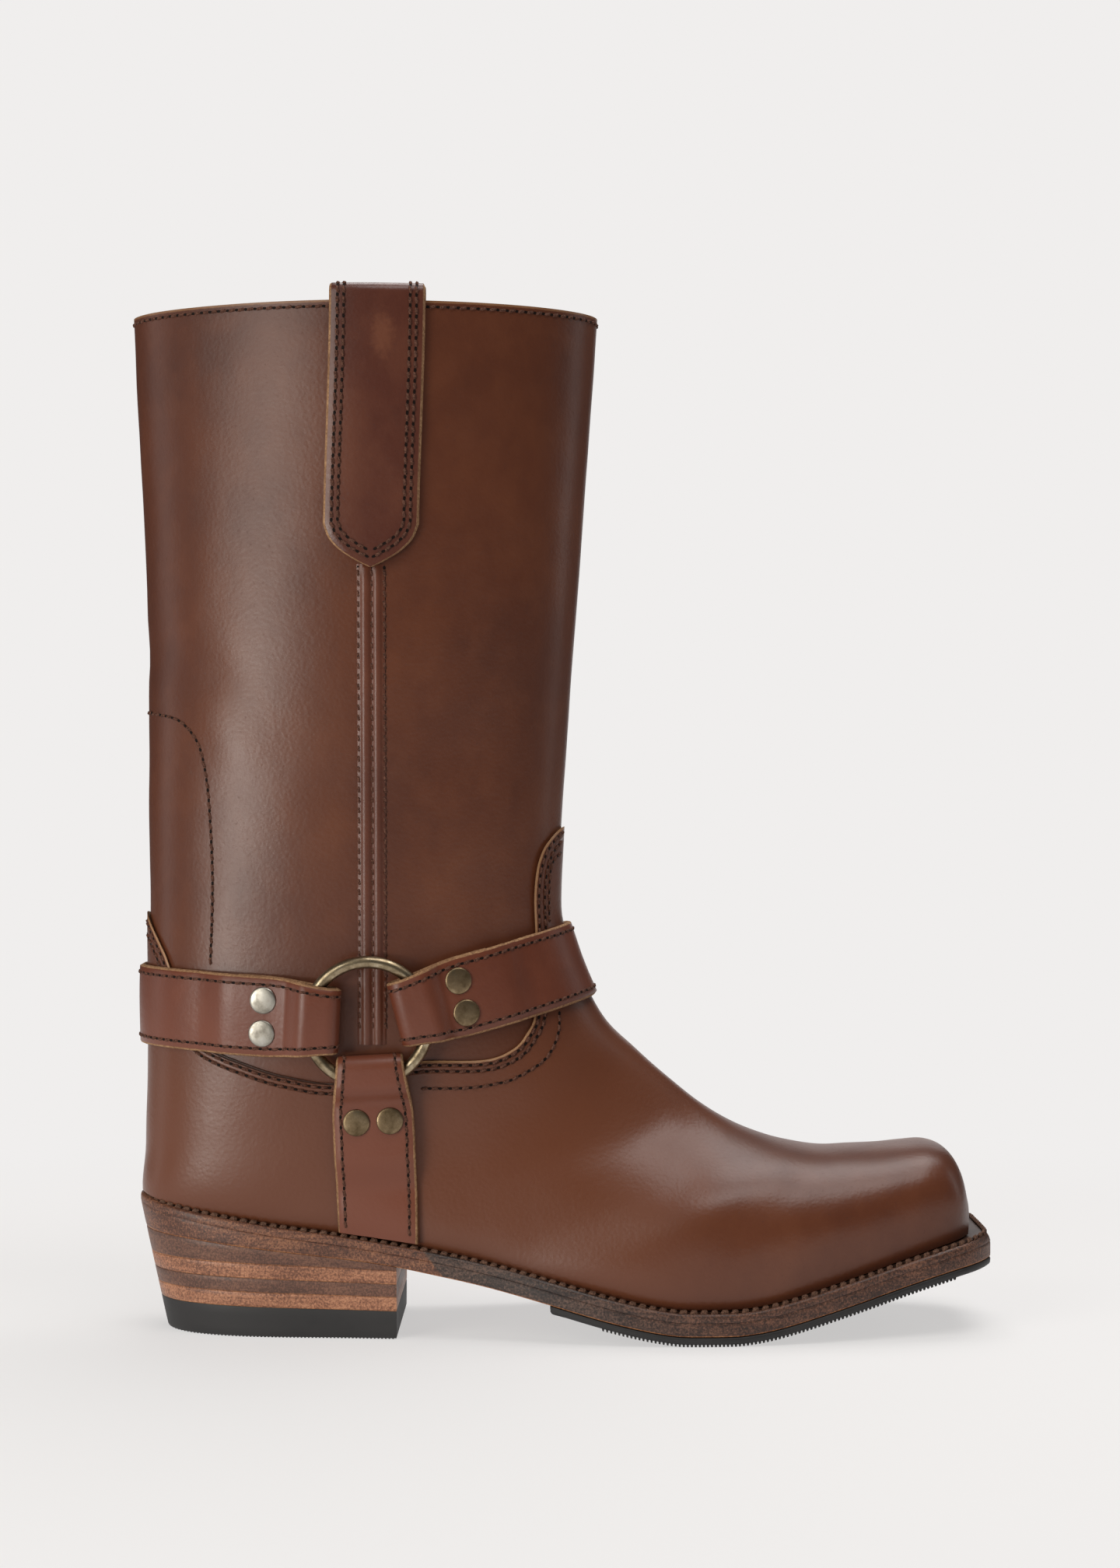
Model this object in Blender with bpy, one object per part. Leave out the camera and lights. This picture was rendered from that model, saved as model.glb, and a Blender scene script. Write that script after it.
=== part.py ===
"""Harness boot, right foot, standing on its sole.

The toe points along +X, the outer side of the foot faces -Y and +Z is up.
Sizes are in millimetres; the meshes are made in metres.
"""
import math
from collections import namedtuple

import bmesh
import bpy
from mathutils import Vector
from mathutils.bvhtree import BVHTree

# Driving dimensions
MM = 0.001
GAP = 0.3
SEAT_GAP = 0.5
WALL = 1.8
OVERLAY = 1.2
COLLAR_Z = 364.0
AROUND = 30
END_CROWDING = 0.19

WELT_THICK = 3.2
WELT_LOW = SEAT_GAP + WELT_THICK
RUBBER_THICK = 3.2
RUBBER_START_X = -5.0
INSOLE_THICK = 2.6
INSOLE_INSET = 5.2
WELT_INSET = 7.0

HEEL_BREAST_X = -59.0
HEEL_TAPER_BACK = 0.21
HEEL_TAPER_SIDE = 0.10
HEEL_JOINT_BACK_X = -149.0
HEEL_SET_IN = 2.0

STRAP_THICK = 2.2
STRAP_HALF = 14.2
STRAP_FOLD_HALF = 11.6
STRAP_LIFT = OVERLAY + SEAT_GAP + STRAP_THICK / 2
RING_X = -69.0
RING_Z = 112.5
RING_INNER = 19.0
RING_WIRE = 4.4
RING_SEGMENTS = 36
RING_SIDES = 8
FOLD_RADIUS = RING_WIRE / 2 + GAP + STRAP_THICK / 2
RING_LIFT = STRAP_LIFT + FOLD_RADIUS
FOLD_START = 9.7
TAIL_LENGTH = 36.0
STRAP_STEP = 4.5
WIDEN_LENGTH = 26.0
FLAT_REACH = 22.0
SKIN_REACH = 34.0
SHEAR_START = 60.0
OUTER_DROP = 4.4
TAIL_CLEAR = 1.5
OUTER_END = 9.0
TAIL_STEP = 9.0
FOLD_DEGREES = (234, 198, 162, 126)
HEEL_STRAP_SLOPE = -0.036
FRONT_STRAP_SLOPE = 0.262
HEEL_RIVET = 35.9
FRONT_RIVET = 33.2
STIRRUP_RIVET = 35.2
STIRRUP_FOLD_START = 11.3
STIRRUP_LOW_X = -65.0
STIRRUP_SEAT = 1.2
STIRRUP_SPARE = 0.5

RIVET_RADIUS = 4.75
RIVET_HEIGHT = 1.7
RIVET_SPREAD = 5.8

PULL_HALF = 16.7
PULL_THICK = 2.4
PULL_GAP = 0.5
PULL_TOP_Z = 370.0
PULL_INSIDE_Z = 322.0
PULL_X_TOP = -65.0
PULL_X_TIP = -67.6

SEAM_TOP_Z = 269.0
SEAM_BOTTOM_Z = 104.0
SEAM_X = -67.3

OUTER_SIDE = -1
INNER_SIDE = 1
SIDE_NAMES = {OUTER_SIDE: "outer", INNER_SIDE: "inner"}

# The upper's sections, from above the collar down the shaft, through the heel and on to the toe.
# Each lies in a plane from its back or bottom point to its front or top point.
Section = namedtuple(
    "Section",
    "back_x back_z front_x front_z outer inner middle widest back_power front_power",
)
FORM = (
    Section(-156.6, 376.0, 12.7, 376.0, 47.5, 47.5, 0.0, 0.50, 1.70, 1.90),
    Section(-155.4, 345.0, 10.9, 345.0, 46.5, 46.5, 0.0, 0.50, 1.72, 1.92),
    Section(-153.1, 300.0, 7.6, 300.0, 44.5, 44.5, 0.0, 0.50, 1.80, 1.95),
    Section(-151.2, 255.0, 4.2, 255.0, 42.3, 42.3, 0.0, 0.50, 1.90, 2.00),
    Section(-150.8, 212.0, 1.1, 214.0, 40.0, 40.0, 0.0, 0.50, 2.00, 2.05),
    Section(-150.6, 176.0, -1.2, 178.0, 38.0, 38.0, 0.0, 0.50, 2.10, 2.10),
    Section(-150.1, 145.0, -1.8, 151.0, 36.6, 36.6, 0.0, 0.49, 2.20, 2.20),
    Section(-149.6, 118.0, 2.9, 131.0, 35.6, 35.6, 0.0, 0.48, 2.30, 2.20),
    Section(-149.9, 92.0, 12.9, 111.0, 34.6, 34.6, 0.0, 0.47, 2.40, 2.20),
    Section(-150.6, 66.0, 25.2, 98.8, 33.6, 33.6, 0.0, 0.46, 2.55, 2.20),
    Section(-150.5, 45.0, 37.6, 87.8, 32.8, 32.6, 0.0, 0.46, 2.75, 2.20),
    Section(-136.0, 34.0, 49.4, 78.2, 33.0, 32.4, 0.5, 0.50, 3.00, 2.20),
    Section(-96.0, 29.0, 60.6, 71.6, 35.0, 34.0, 1.0, 0.52, 3.10, 2.20),
    Section(-52.0, 22.0, 73.4, 66.9, 38.6, 37.0, 1.0, 0.50, 3.20, 2.20),
    Section(-10.0, 11.5, 84.2, 64.4, 45.4, 43.6, 1.0, 0.45, 3.30, 2.20),
    Section(28.0, 4.0, 94.1, 63.1, 46.6, 45.6, 1.5, 0.38, 3.40, 2.25),
    Section(60.0, 3.5, 104.0, 63.3, 44.6, 45.4, 2.5, 0.34, 3.40, 2.35),
    Section(86.0, 9.0, 114.0, 64.1, 40.4, 42.4, 3.5, 0.34, 3.40, 2.50),
    Section(107.0, 16.0, 123.5, 64.9, 36.2, 38.2, 4.5, 0.36, 3.40, 2.65),
    Section(122.0, 21.0, 131.0, 64.8, 33.0, 34.6, 5.2, 0.38, 3.40, 2.80),
    Section(132.0, 24.0, 137.0, 61.5, 29.8, 31.2, 5.6, 0.40, 3.30, 2.90),
    Section(139.0, 26.0, 141.6, 55.0, 25.4, 26.6, 5.8, 0.42, 3.10, 2.90),
    Section(143.6, 29.0, 144.4, 46.5, 19.0, 20.0, 5.8, 0.45, 2.80, 2.80),
)
FORM_STEPS = 2

# Heights along the length: where the upper meets the welt, and the outsole's lower face.
FEATHER = (
    (-175.0, 53.0), (-151.0, 49.0), (-142.0, 46.6), (-105.0, 40.3), (-84.0, 37.6), (-66.0, 35.0),
    (-46.0, 31.6), (-26.0, 27.5), (-5.0, 22.3), (14.0, 17.2), (30.0, 13.6), (42.0, 12.0), (60.0, 12.0),
    (75.0, 14.3), (102.0, 21.9), (124.0, 28.6), (140.0, 33.0), (156.0, 36.4), (175.0, 40.0),
)
OUTSOLE_LOW = (
    (-175.0, 38.5), (-151.0, 36.4), (-102.0, 31.0), (-66.0, 27.0), (-46.0, 23.4), (-26.0, 19.2),
    (-5.0, 13.9), (14.0, 8.7), (30.0, 5.1), (42.0, 3.5), (60.0, 3.5), (75.0, 5.8), (102.0, 13.4),
    (124.0, 20.1), (140.0, 24.3), (156.0, 27.0), (175.0, 30.0),
)
# Where the sole's outline is taken: round the heel, along the sides and round the toe.
HEEL_CENTRE_X = -112.0
HEEL_DEGREES = (174, 162, 150, 138, 124, 108)
SIDE_XS = (-112, -94, -76, -59, -46, -33, -20, -7, 6, 19, 32, 45, 58, 71, 84, 96, 108)
TOE_CENTRE_X = 108.0
TOE_CENTRE_Y = 5.0
TOE_DEGREES = (76, 62, 50, 40, 32, 24, 15, 5)
# How far the welt stands out past the upper.
WELT_MARGIN = (
    (-160.0, 0.4), (-150.0, 0.7), (-140.0, 1.9), (-115.0, 3.4), (-60.0, 4.4), (0.0, 4.6), (60.0, 5.0), (115.0, 6.2),
    (135.0, 7.4), (150.0, 8.2),
)
# Lines between the heel's layers: height at the back and at the breast.
HEEL_LINES = ((27.6, 24.4), (22.3, 19.6), (17.0, 14.8), (11.6, 10.0))

# The edge of the vamp and the counter on the shaft, seen from the side, from back to front.
OVERLAY_EDGE = (
    (-152.5, 151.0), (-150.5, 148.4), (-147.4, 143.5), (-144.1, 137.9), (-141.0, 131.7),
    (-134.5, 114.0), (-129.0, 104.5), (-121.6, 100.2), (-112.8, 97.0), (-104.3, 94.2), (-97.0, 92.5),
    (-84.0, 90.4), (-72.0, 92.0), (-60.0, 96.6), (-48.7, 98.2), (-28.1, 98.3), (-18.0, 102.0),
    (-13.2, 107.5), (-10.6, 113.5), (-9.9, 128.0), (-10.3, 142.0), (-10.7, 155.0), (-9.9, 164.5),
    (-8.2, 170.6), (-5.7, 175.0), (-1.0, 179.7), (6.0, 181.5),
)

# The pull strap's half width up from its tip.
PULL_TIP = ((271.3, 0.8), (273.4, 5.0), (276.6, 10.2), (281.0, 14.6), (286.2, 16.7))

# Places across the pull strap, as shares of its half width.
PULL_SHARES = (-1.0, -0.5, 0.0, 0.5, 1.0)

# Raised piping over the side seam: place across it and height.
SEAM_PROFILE = (
    (-4.2, 0.25), (-3.7, 0.8), (-2.2, 1.15), (-0.6, 0.75), (0.0, 0.4),
    (0.6, 0.75), (1.9, 1.1), (3.2, 0.7), (3.6, 0.25),
)


def clear_scene():
    for item in list(bpy.data.objects):
        bpy.data.objects.remove(item)


def material(name, colour, roughness, metallic=0.0):
    made = bpy.data.materials.new(name)
    made.use_nodes = True
    shader = made.node_tree.nodes["Principled BSDF"]
    shader.inputs["Base Color"].default_value = (*colour, 1.0)
    shader.inputs["Roughness"].default_value = roughness
    shader.inputs["Metallic"].default_value = metallic
    return made


def lookup(table, at):
    """Read a (place, value) table smoothly at one place."""
    count = len(table)
    if at <= table[0][0]:
        return table[0][1]
    if at >= table[-1][0]:
        return table[-1][1]
    index = max(i for i in range(count - 1) if table[i][0] <= at)
    (x0, y0), (x1, y1) = table[index], table[index + 1]
    before = table[max(index - 1, 0)]
    after = table[min(index + 2, count - 1)]
    slope0 = (y1 - before[1]) / (x1 - before[0])
    slope1 = (after[1] - y0) / (after[0] - x0)
    if y0 == y1:
        slope0 = slope1 = 0.0
    span = x1 - x0
    t = (at - x0) / span
    return (
        y0 * (2 * t ** 3 - 3 * t ** 2 + 1)
        + slope0 * span * (t ** 3 - 2 * t ** 2 + t)
        + y1 * (3 * t ** 2 - 2 * t ** 3)
        + slope1 * span * (t ** 3 - t ** 2)
    )


def smooth(low, high, at):
    t = min(max((at - low) / (high - low), 0.0), 1.0)
    return t * t * (3 - 2 * t)


def feather_z(x):
    return lookup(FEATHER, x)


def outsole_z(x):
    return lookup(OUTSOLE_LOW, x)


def new_object(name, points, faces, finish):
    """Make one closed, smoothly shaded mesh object from points in millimetres."""
    mesh = bpy.data.meshes.new(name)
    mesh.from_pydata([tuple(Vector(p) * MM) for p in points], [], faces)
    work = bmesh.new()
    work.from_mesh(mesh)
    bmesh.ops.recalc_face_normals(work, faces=work.faces)
    work.to_mesh(mesh)
    work.free()
    item = bpy.data.objects.new(name, mesh)
    bpy.context.collection.objects.link(item)
    mesh.materials.append(finish)
    shade(item)
    return item


def shade(item, degrees=38):
    item.data.shade_smooth()
    item.data.set_sharp_from_angle(angle=math.radians(degrees))


def ring_faces(rings, count, closed_ends=True, loop=False):
    """Faces over a stack of rings with the same number of points."""
    faces = []
    last = rings if loop else rings - 1
    for i in range(last):
        for j in range(count):
            k = (j + 1) % count
            low = i * count
            high = ((i + 1) % rings) * count
            faces.append((low + j, low + k, high + k, high + j))
    if closed_ends and not loop:
        faces.append(tuple(range(count)))
        faces.append(tuple(range((rings - 1) * count, rings * count)))
    return faces


def combine(target, other, operation):
    """Apply a Boolean to the target and drop the other object."""
    cut = target.modifiers.new("cut", "BOOLEAN")
    cut.operation = operation
    cut.solver = "EXACT"
    cut.object = other
    graph = bpy.context.evaluated_depsgraph_get()
    result = bpy.data.meshes.new_from_object(target.evaluated_get(graph))
    target.modifiers.clear()
    target.data = result
    bpy.data.objects.remove(other)


def prism(outline, finish, half_depth=110.0):
    """A block with an outline in the side view, running right across the boot."""
    near = [(x, -half_depth, z) for x, z in outline]
    far = [(x, half_depth, z) for x, z in outline]
    return new_object("block", near + far, ring_faces(2, len(outline)), finish)


# The upper's form
def section_ring(section):
    ring = []
    for k in range(AROUND):
        angle = 2 * math.pi * k / AROUND
        angle -= END_CROWDING * math.sin(2 * angle)
        along, across = math.cos(angle), math.sin(angle)
        power = section.front_power if along >= 0 else section.back_power
        reach = 1 - section.widest if along >= 0 else section.widest
        t = section.widest + math.copysign(reach * abs(along) ** (2 / power), along)
        width = section.outer if across < 0 else section.inner
        y = section.middle + math.copysign(width * abs(across) ** (2 / power), across)
        x = section.back_x + (section.front_x - section.back_x) * t
        z = section.back_z + (section.front_z - section.back_z) * t
        ring.append(Vector((x, y, z)))
    return ring


def sections():
    """The table's sections with smooth ones between them."""
    rows = []
    last = len(FORM) - 1
    for i in range(last):
        four = FORM[max(i - 1, 0)], FORM[i], FORM[i + 1], FORM[min(i + 2, last)]
        for step in range(FORM_STEPS):
            t = step / FORM_STEPS
            rows.append(Section(*(catmull(*column, t) for column in zip(*four))))
    rows.append(FORM[last])
    return rows


def catmull(a, b, c, d, t):
    return 0.5 * (2 * b + (c - a) * t + (2 * a - 5 * b + 4 * c - d) * t ** 2 + (3 * b - a - 3 * c + d) * t ** 3)


def form(name, grow, finish):
    """The boot's whole form as a closed body, grown outward by a distance."""
    rings = [section_ring(row) for row in sections()]
    points = [point for ring in rings for point in ring]
    item = new_object(name, points, ring_faces(len(rings), AROUND), finish)
    if grow:
        moved = [vertex.co + vertex.normal * grow * MM for vertex in item.data.vertices]
        for vertex, place in zip(item.data.vertices, moved):
            vertex.co = place
        item.data.update()
    return item


class Skin:
    """The form's surface, for pieces that lie on it."""

    def __init__(self, finish):
        item = form("skin", 0.0, finish)
        points = [vertex.co / MM for vertex in item.data.vertices]
        faces = [tuple(polygon.vertices) for polygon in item.data.polygons]
        self.tree = BVHTree.FromPolygons(points, faces)
        bpy.data.objects.remove(item)

    def cast(self, origin, direction):
        place, normal, _, _ = self.tree.ray_cast(Vector(origin), Vector(direction))
        return place, normal

    def nearest(self, point):
        place, normal, _, _ = self.tree.find_nearest(point)
        return place, normal

    def side(self, x, z, side):
        return self.cast((x, 0.0, z), (0.0, side, 0.0))


def make_upper(leather):
    upper = form("upper", 0.0, leather)
    edge = list(OVERLAY_EDGE)
    overlay = form("overlay", OVERLAY, leather)
    block = prism([(-220.0, 151.0), *edge, (220.0, 181.5), (220.0, -60.0), (-220.0, -60.0)], leather)
    combine(overlay, block, "INTERSECT")
    combine(upper, overlay, "UNION")
    combine(upper, form("hollow", -WALL, leather), "DIFFERENCE")
    floor_line = [(x, feather_z(x)) for x in range(-174, 175, 6)]
    combine(upper, prism([*floor_line, (174.0, -80.0), (-174.0, -80.0)], leather), "DIFFERENCE")
    top = prism([(-220.0, COLLAR_Z), (80.0, COLLAR_Z), (80.0, 420.0), (-220.0, 420.0)], leather)
    combine(upper, top, "DIFFERENCE")
    upper.name = "upper"
    shade(upper)
    return upper


# The sole
def feather_outline(skin):
    """Where the form meets the sole, as matching points on the outer and inner side."""
    seeds = [(HEEL_CENTRE_X, degrees) for degrees in HEEL_DEGREES]
    seeds += [(float(x), 90) for x in SIDE_XS]
    seeds += [(TOE_CENTRE_X, degrees) for degrees in TOE_DEGREES]
    lines = {}
    for side in (OUTER_SIDE, INNER_SIDE):
        lines[side] = []
        for x, degrees in seeds:
            direction = Vector((math.cos(math.radians(degrees)), side * math.sin(math.radians(degrees)), 0.0))
            middle = TOE_CENTRE_Y if degrees < 90 else 0.0
            place = Vector((x, 0.0, 0.0))
            for _ in range(4):
                origin = (x, middle, feather_z(place.x) + SEAT_GAP)
                place, _ = skin.cast(origin, direction)
            lines[side].append(Vector((place.x, place.y)))
    return lines


def grown(lines, distance):
    """The outline moved outward: a distance may be a number or a function of x."""
    loop = lines[OUTER_SIDE] + lines[INNER_SIDE][::-1]
    count = len(loop)
    moved = []
    for i, point in enumerate(loop):
        along = (loop[(i + 1) % count] - loop[i - 1]).normalized()
        out = Vector((along.y, -along.x))
        move = distance(point.x) if callable(distance) else distance
        moved.append(point + out * (OVERLAY + move))
    half = len(lines[OUTER_SIDE])
    return {OUTER_SIDE: moved[:half], INNER_SIDE: moved[half:][::-1]}


def plate(name, lines, top, low, finish):
    """A curved layer of the sole between two heights along x."""
    points, rows = [], len(lines[OUTER_SIDE])
    for level in (top, low):
        for outer, inner in zip(lines[OUTER_SIDE], lines[INNER_SIDE]):
            middle = (outer + inner) / 2
            for place in (outer, middle, inner):
                points.append((place.x, place.y, level(place.x)))
    faces = []
    under = rows * 3
    for i in range(rows - 1):
        for j in range(2):
            a = i * 3 + j
            faces.append((a, a + 1, a + 4, a + 3))
            faces.append((under + a, under + a + 3, under + a + 4, under + a + 1))
    border = [i * 3 for i in range(rows)] + [rows * 3 - 2] + [i * 3 + 2 for i in reversed(range(rows))] + [1]
    for i, a in enumerate(border):
        b = border[(i + 1) % len(border)]
        faces.append((a, b, under + b, under + a))
    return new_object(name, points, faces, finish)


def make_welt(lines, leather):
    outer = grown(lines, lambda x: lookup(WELT_MARGIN, x))
    inner = grown(lines, -WELT_INSET)
    outer_loop = outer[OUTER_SIDE] + outer[INNER_SIDE][::-1]
    inner_loop = inner[OUTER_SIDE] + inner[INNER_SIDE][::-1]
    points = []
    for out, into in zip(outer_loop, inner_loop):
        for place, drop in ((out, SEAT_GAP), (out, WELT_LOW), (into, WELT_LOW), (into, SEAT_GAP)):
            points.append((place.x, place.y, feather_z(place.x) - drop))
    return new_object("welt", points, ring_faces(len(outer_loop), 4, loop=True), leather)


def between(lines, start, end):
    """The part of the outline between two places along x, with square ends."""
    kept = {}
    for side in (OUTER_SIDE, INNER_SIDE):
        row = lines[side]
        kept[side] = []
        for a, b in zip(row, row[1:] + row[-1:]):
            if start < a.x < end:
                kept[side].append(a)
            for limit in (start, end):
                if a.x < limit <= b.x:
                    kept[side].append(a + (b - a) * ((limit - a.x) / (b.x - a.x)))
    count = min(len(kept[OUTER_SIDE]), len(kept[INNER_SIDE]))
    for side in (OUTER_SIDE, INNER_SIDE):
        while len(kept[side]) > count:
            kept[side].pop(len(kept[side]) // 2)
    return kept


def heel_outline(lines, drop):
    """The heel's outline at a distance below the outsole, drawn in towards the floor."""
    moved = {}
    for side in (OUTER_SIDE, INNER_SIDE):
        moved[side] = []
        for point in lines[side]:
            back = smooth(-115.0, HEEL_JOINT_BACK_X, point.x)
            x = point.x + (drop * HEEL_TAPER_BACK + HEEL_SET_IN) * smooth(-90.0, -150.0, point.x)
            y = point.y - side * drop * HEEL_TAPER_SIDE * (1 - back * 0.3)
            moved[side].append(Vector((x, y)))
    return moved


def heel_line(line, x):
    back, breast = line
    t = (x - HEEL_JOINT_BACK_X) / (HEEL_BREAST_X - HEEL_JOINT_BACK_X)
    return back + (breast - back) * t


def layer(name, top_lines, low_lines, top, low, finish):
    """A heel layer whose outline changes from its top to its lower face."""
    item = plate(name, top_lines, top, low, finish)
    rows = len(top_lines[OUTER_SIDE])
    for i in range(rows):
        outer, inner = low_lines[OUTER_SIDE][i], low_lines[INNER_SIDE][i]
        for j, place in enumerate((outer, (outer + inner) / 2, inner)):
            vertex = item.data.vertices[(rows + i) * 3 + j]
            vertex.co = Vector((place.x, place.y, low(place.x))) * MM
    item.data.update()
    return item


def make_heel(lines, leathers, rubber):
    base = between(grown(lines, lambda x: lookup(WELT_MARGIN, x)), -200.0, HEEL_BREAST_X)
    tops = [lambda x: outsole_z(x) - GAP]
    lows = []
    for line in HEEL_LINES:
        lows.append(lambda x, line=line: heel_line(line, x) + GAP / 2)
        tops.append(lambda x, line=line: heel_line(line, x) - GAP / 2)
    lows.append(lambda x: 0.0)
    seat = outsole_z(HEEL_JOINT_BACK_X)
    for i, (top, low) in enumerate(zip(tops, lows)):
        name = f"heel_lift_{i + 1}" if i < len(HEEL_LINES) else "heel_top"
        finish = leathers[i % 2] if i < len(HEEL_LINES) else rubber
        above = heel_outline(base, seat - top(HEEL_JOINT_BACK_X))
        below = heel_outline(base, seat - low(HEEL_JOINT_BACK_X))
        layer(name, above, below, top, low, finish)


def make_sole(skin, finishes):
    lines = feather_outline(skin)
    edge = grown(lines, lambda x: lookup(WELT_MARGIN, x))
    make_welt(lines, finishes["welt"])
    plate(
        "outsole", edge, lambda x: feather_z(x) - WELT_LOW - GAP, outsole_z, finishes["edge"],
    )
    half = between(edge, RUBBER_START_X, 200.0)
    plate(
        "sole_rubber", half, lambda x: outsole_z(x) - GAP, lambda x: max(outsole_z(x) - GAP - RUBBER_THICK, 0.0),
        finishes["rubber"],
    )
    inside = grown(lines, -INSOLE_INSET)
    plate("insole", inside, lambda x: feather_z(x) + INSOLE_THICK, feather_z, finishes["insole"])
    make_heel(lines, (finishes["edge"], finishes["lift"]), finishes["rubber"])


# Straps and rings
class Line:
    """A line over the skin, read by its length from the start."""

    def __init__(self, places, normals):
        self.places, self.normals, self.lengths = places, normals, [0.0]
        for a, b in zip(places, places[1:]):
            self.lengths.append(self.lengths[-1] + (b - a).length)
        self.length = self.lengths[-1]

    def at(self, length):
        last = len(self.lengths) - 2
        index = max((i for i in range(last + 1) if self.lengths[i] <= length), default=0)
        t = (length - self.lengths[index]) / (self.lengths[index + 1] - self.lengths[index])
        a, b = self.places[index], self.places[index + 1]
        normal = self.normals[index].lerp(self.normals[index + 1], min(max(t, 0.0), 1.0)).normalized()
        return a + (b - a) * t, (b - a).normalized(), normal


def line_round(skin, slope, start, end):
    """A line round the ankle in a sloping plane through the two ring centres."""
    places, normals = [], []
    count = 160
    for k in range(count + 1):
        angle = math.radians(start + (end - start) * k / count)
        direction = (math.cos(angle), math.sin(angle), math.cos(angle) * slope)
        place, normal = skin.cast((RING_X, 0.0, RING_Z), direction)
        places.append(place)
        normals.append(normal)
    return Line(places, normals)


def line_down(skin, side):
    """A line from the ring's centre down the side to the welt."""
    places, normals = [], []
    low = feather_z(STIRRUP_LOW_X)
    count = 40
    for k in range(count + 1):
        t = k / count
        x = RING_X + (STIRRUP_LOW_X - RING_X) * t
        z = RING_Z + (low - RING_Z) * t
        place, normal = skin.side(x, z, side)
        places.append(place)
        normals.append(normal)
    return Line(places, normals)


class RingFrame:
    """Where a ring lies: its centre and its own outward direction."""

    def __init__(self, skin, side):
        place, _ = skin.side(RING_X, RING_Z, side)
        spots = []
        for dx, dz in ((-RING_INNER, 0), (RING_INNER, 0), (0, -RING_INNER), (0, RING_INNER)):
            spot, _ = skin.side(RING_X + dx, RING_Z + dz, side)
            spots.append(spot)
        tilt = (spots[1] - spots[0]).cross(spots[3] - spots[2]).normalized()
        self.out = tilt if tilt.y * side > 0 else -tilt
        rise = max(0.0, *((spot - place).dot(self.out) for spot in spots))
        self.base = place + self.out * rise
        self.centre = self.base + self.out * RING_LIFT


class Ribbon:
    """A strap on the skin whose ends lie in the planes of the rings that they hold."""

    def __init__(self, skin, line, first, last=None, end_shear=0.0):
        self.skin, self.line, self.first, self.last = skin, line, first, last
        self.end_shear = end_shear

    def half_width(self, s):
        reach = s if self.last is None else min(s, self.line.length - s)
        wide = smooth(FOLD_START, FOLD_START + WIDEN_LENGTH, reach)
        return STRAP_FOLD_HALF + (STRAP_HALF - STRAP_FOLD_HALF) * wide

    def flat(self, s, h, lift):
        """A place in the nearer ring's plane."""
        far = self.last is not None and s > self.line.length / 2
        frame = self.last if far else self.first
        _, along, _ = self.line.at(self.line.length if far else 0.0)
        reach = s - self.line.length if far else s
        along = (along - frame.out * along.dot(frame.out)).normalized()
        across = frame.out.cross(along)
        return frame.base + along * reach + across * h + frame.out * lift

    def on_skin(self, s, h, lift):
        place, along, normal = self.line.at(s)
        across = normal.cross(along).normalized()
        spot, out = self.skin.nearest(place + across * h)
        out = out.lerp(normal, 0.5)
        if self.last is None:
            out.z = 0.0
        return spot + out.normalized() * lift

    def point(self, s, share, lift):
        """A place by length, share of the half width from -1 to 1, and height over the skin."""
        h = share * self.half_width(s)
        if self.last is None:
            s = s + h * self.end_shear * smooth(SHEAR_START, self.line.length, s)
            reach = s
        else:
            reach = min(s, self.line.length - s)
        follow = smooth(FLAT_REACH, SKIN_REACH, reach)
        if follow == 0.0:
            return self.flat(s, h, lift)
        if follow == 1.0:
            return self.on_skin(s, h, lift)
        return self.flat(s, h, lift).lerp(self.on_skin(s, h, lift), follow)


def fold_path(start=FOLD_START):
    """A strap end's middle line as (length, height) pairs: its tail, its fold and its outer layer."""
    centre = start + FOLD_RADIUS + STRAP_THICK / 2
    tail_end = FOLD_START + TAIL_LENGTH
    past_ring = RING_INNER + RING_WIRE
    high = RING_LIFT + FOLD_RADIUS
    double = STRAP_LIFT + STRAP_THICK + GAP
    tail = (tail_end, tail_end - TAIL_STEP, tail_end - 2 * TAIL_STEP, centre + TAIL_STEP / 2, centre)
    path = [(s, STRAP_LIFT) for s in tail]
    for degrees in FOLD_DEGREES:
        angle = math.radians(degrees)
        path.append((centre + FOLD_RADIUS * math.cos(angle), RING_LIFT + FOLD_RADIUS * math.sin(angle)))
    path += [(centre, high), (centre + TAIL_STEP / 2, high), (past_ring, high)]
    outer = (past_ring + OUTER_DROP, tail_end - TAIL_STEP * 1.5, tail_end - TAIL_STEP / 2, tail_end + TAIL_CLEAR)
    path += [(s, double) for s in outer]
    path += [(tail_end + OUTER_END, STRAP_LIFT)]
    return path


def thicken(path, thick):
    """Both faces of a path in its own plane."""
    left, right = [], []
    for i, (s, lift) in enumerate(path):
        before = Vector(path[max(i - 1, 0)])
        after = Vector(path[min(i + 1, len(path) - 1)])
        along = (after - before).normalized()
        out = Vector((-along.y, along.x)) * thick / 2
        left.append((s + out.x, lift + out.y))
        right.append((s - out.x, lift - out.y))
    return left, right


def ribbon_solid(name, ribbon, path, finish):
    left, right = thicken(path, STRAP_THICK)
    points = []
    for one, other in zip(left, right):
        for share in (-1, 0, 1):
            points.append(ribbon.point(one[0], share, one[1]))
        for share in (1, 0, -1):
            points.append(ribbon.point(other[0], share, other[1]))
    return new_object(name, points, ring_faces(len(path), 6), finish)


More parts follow.
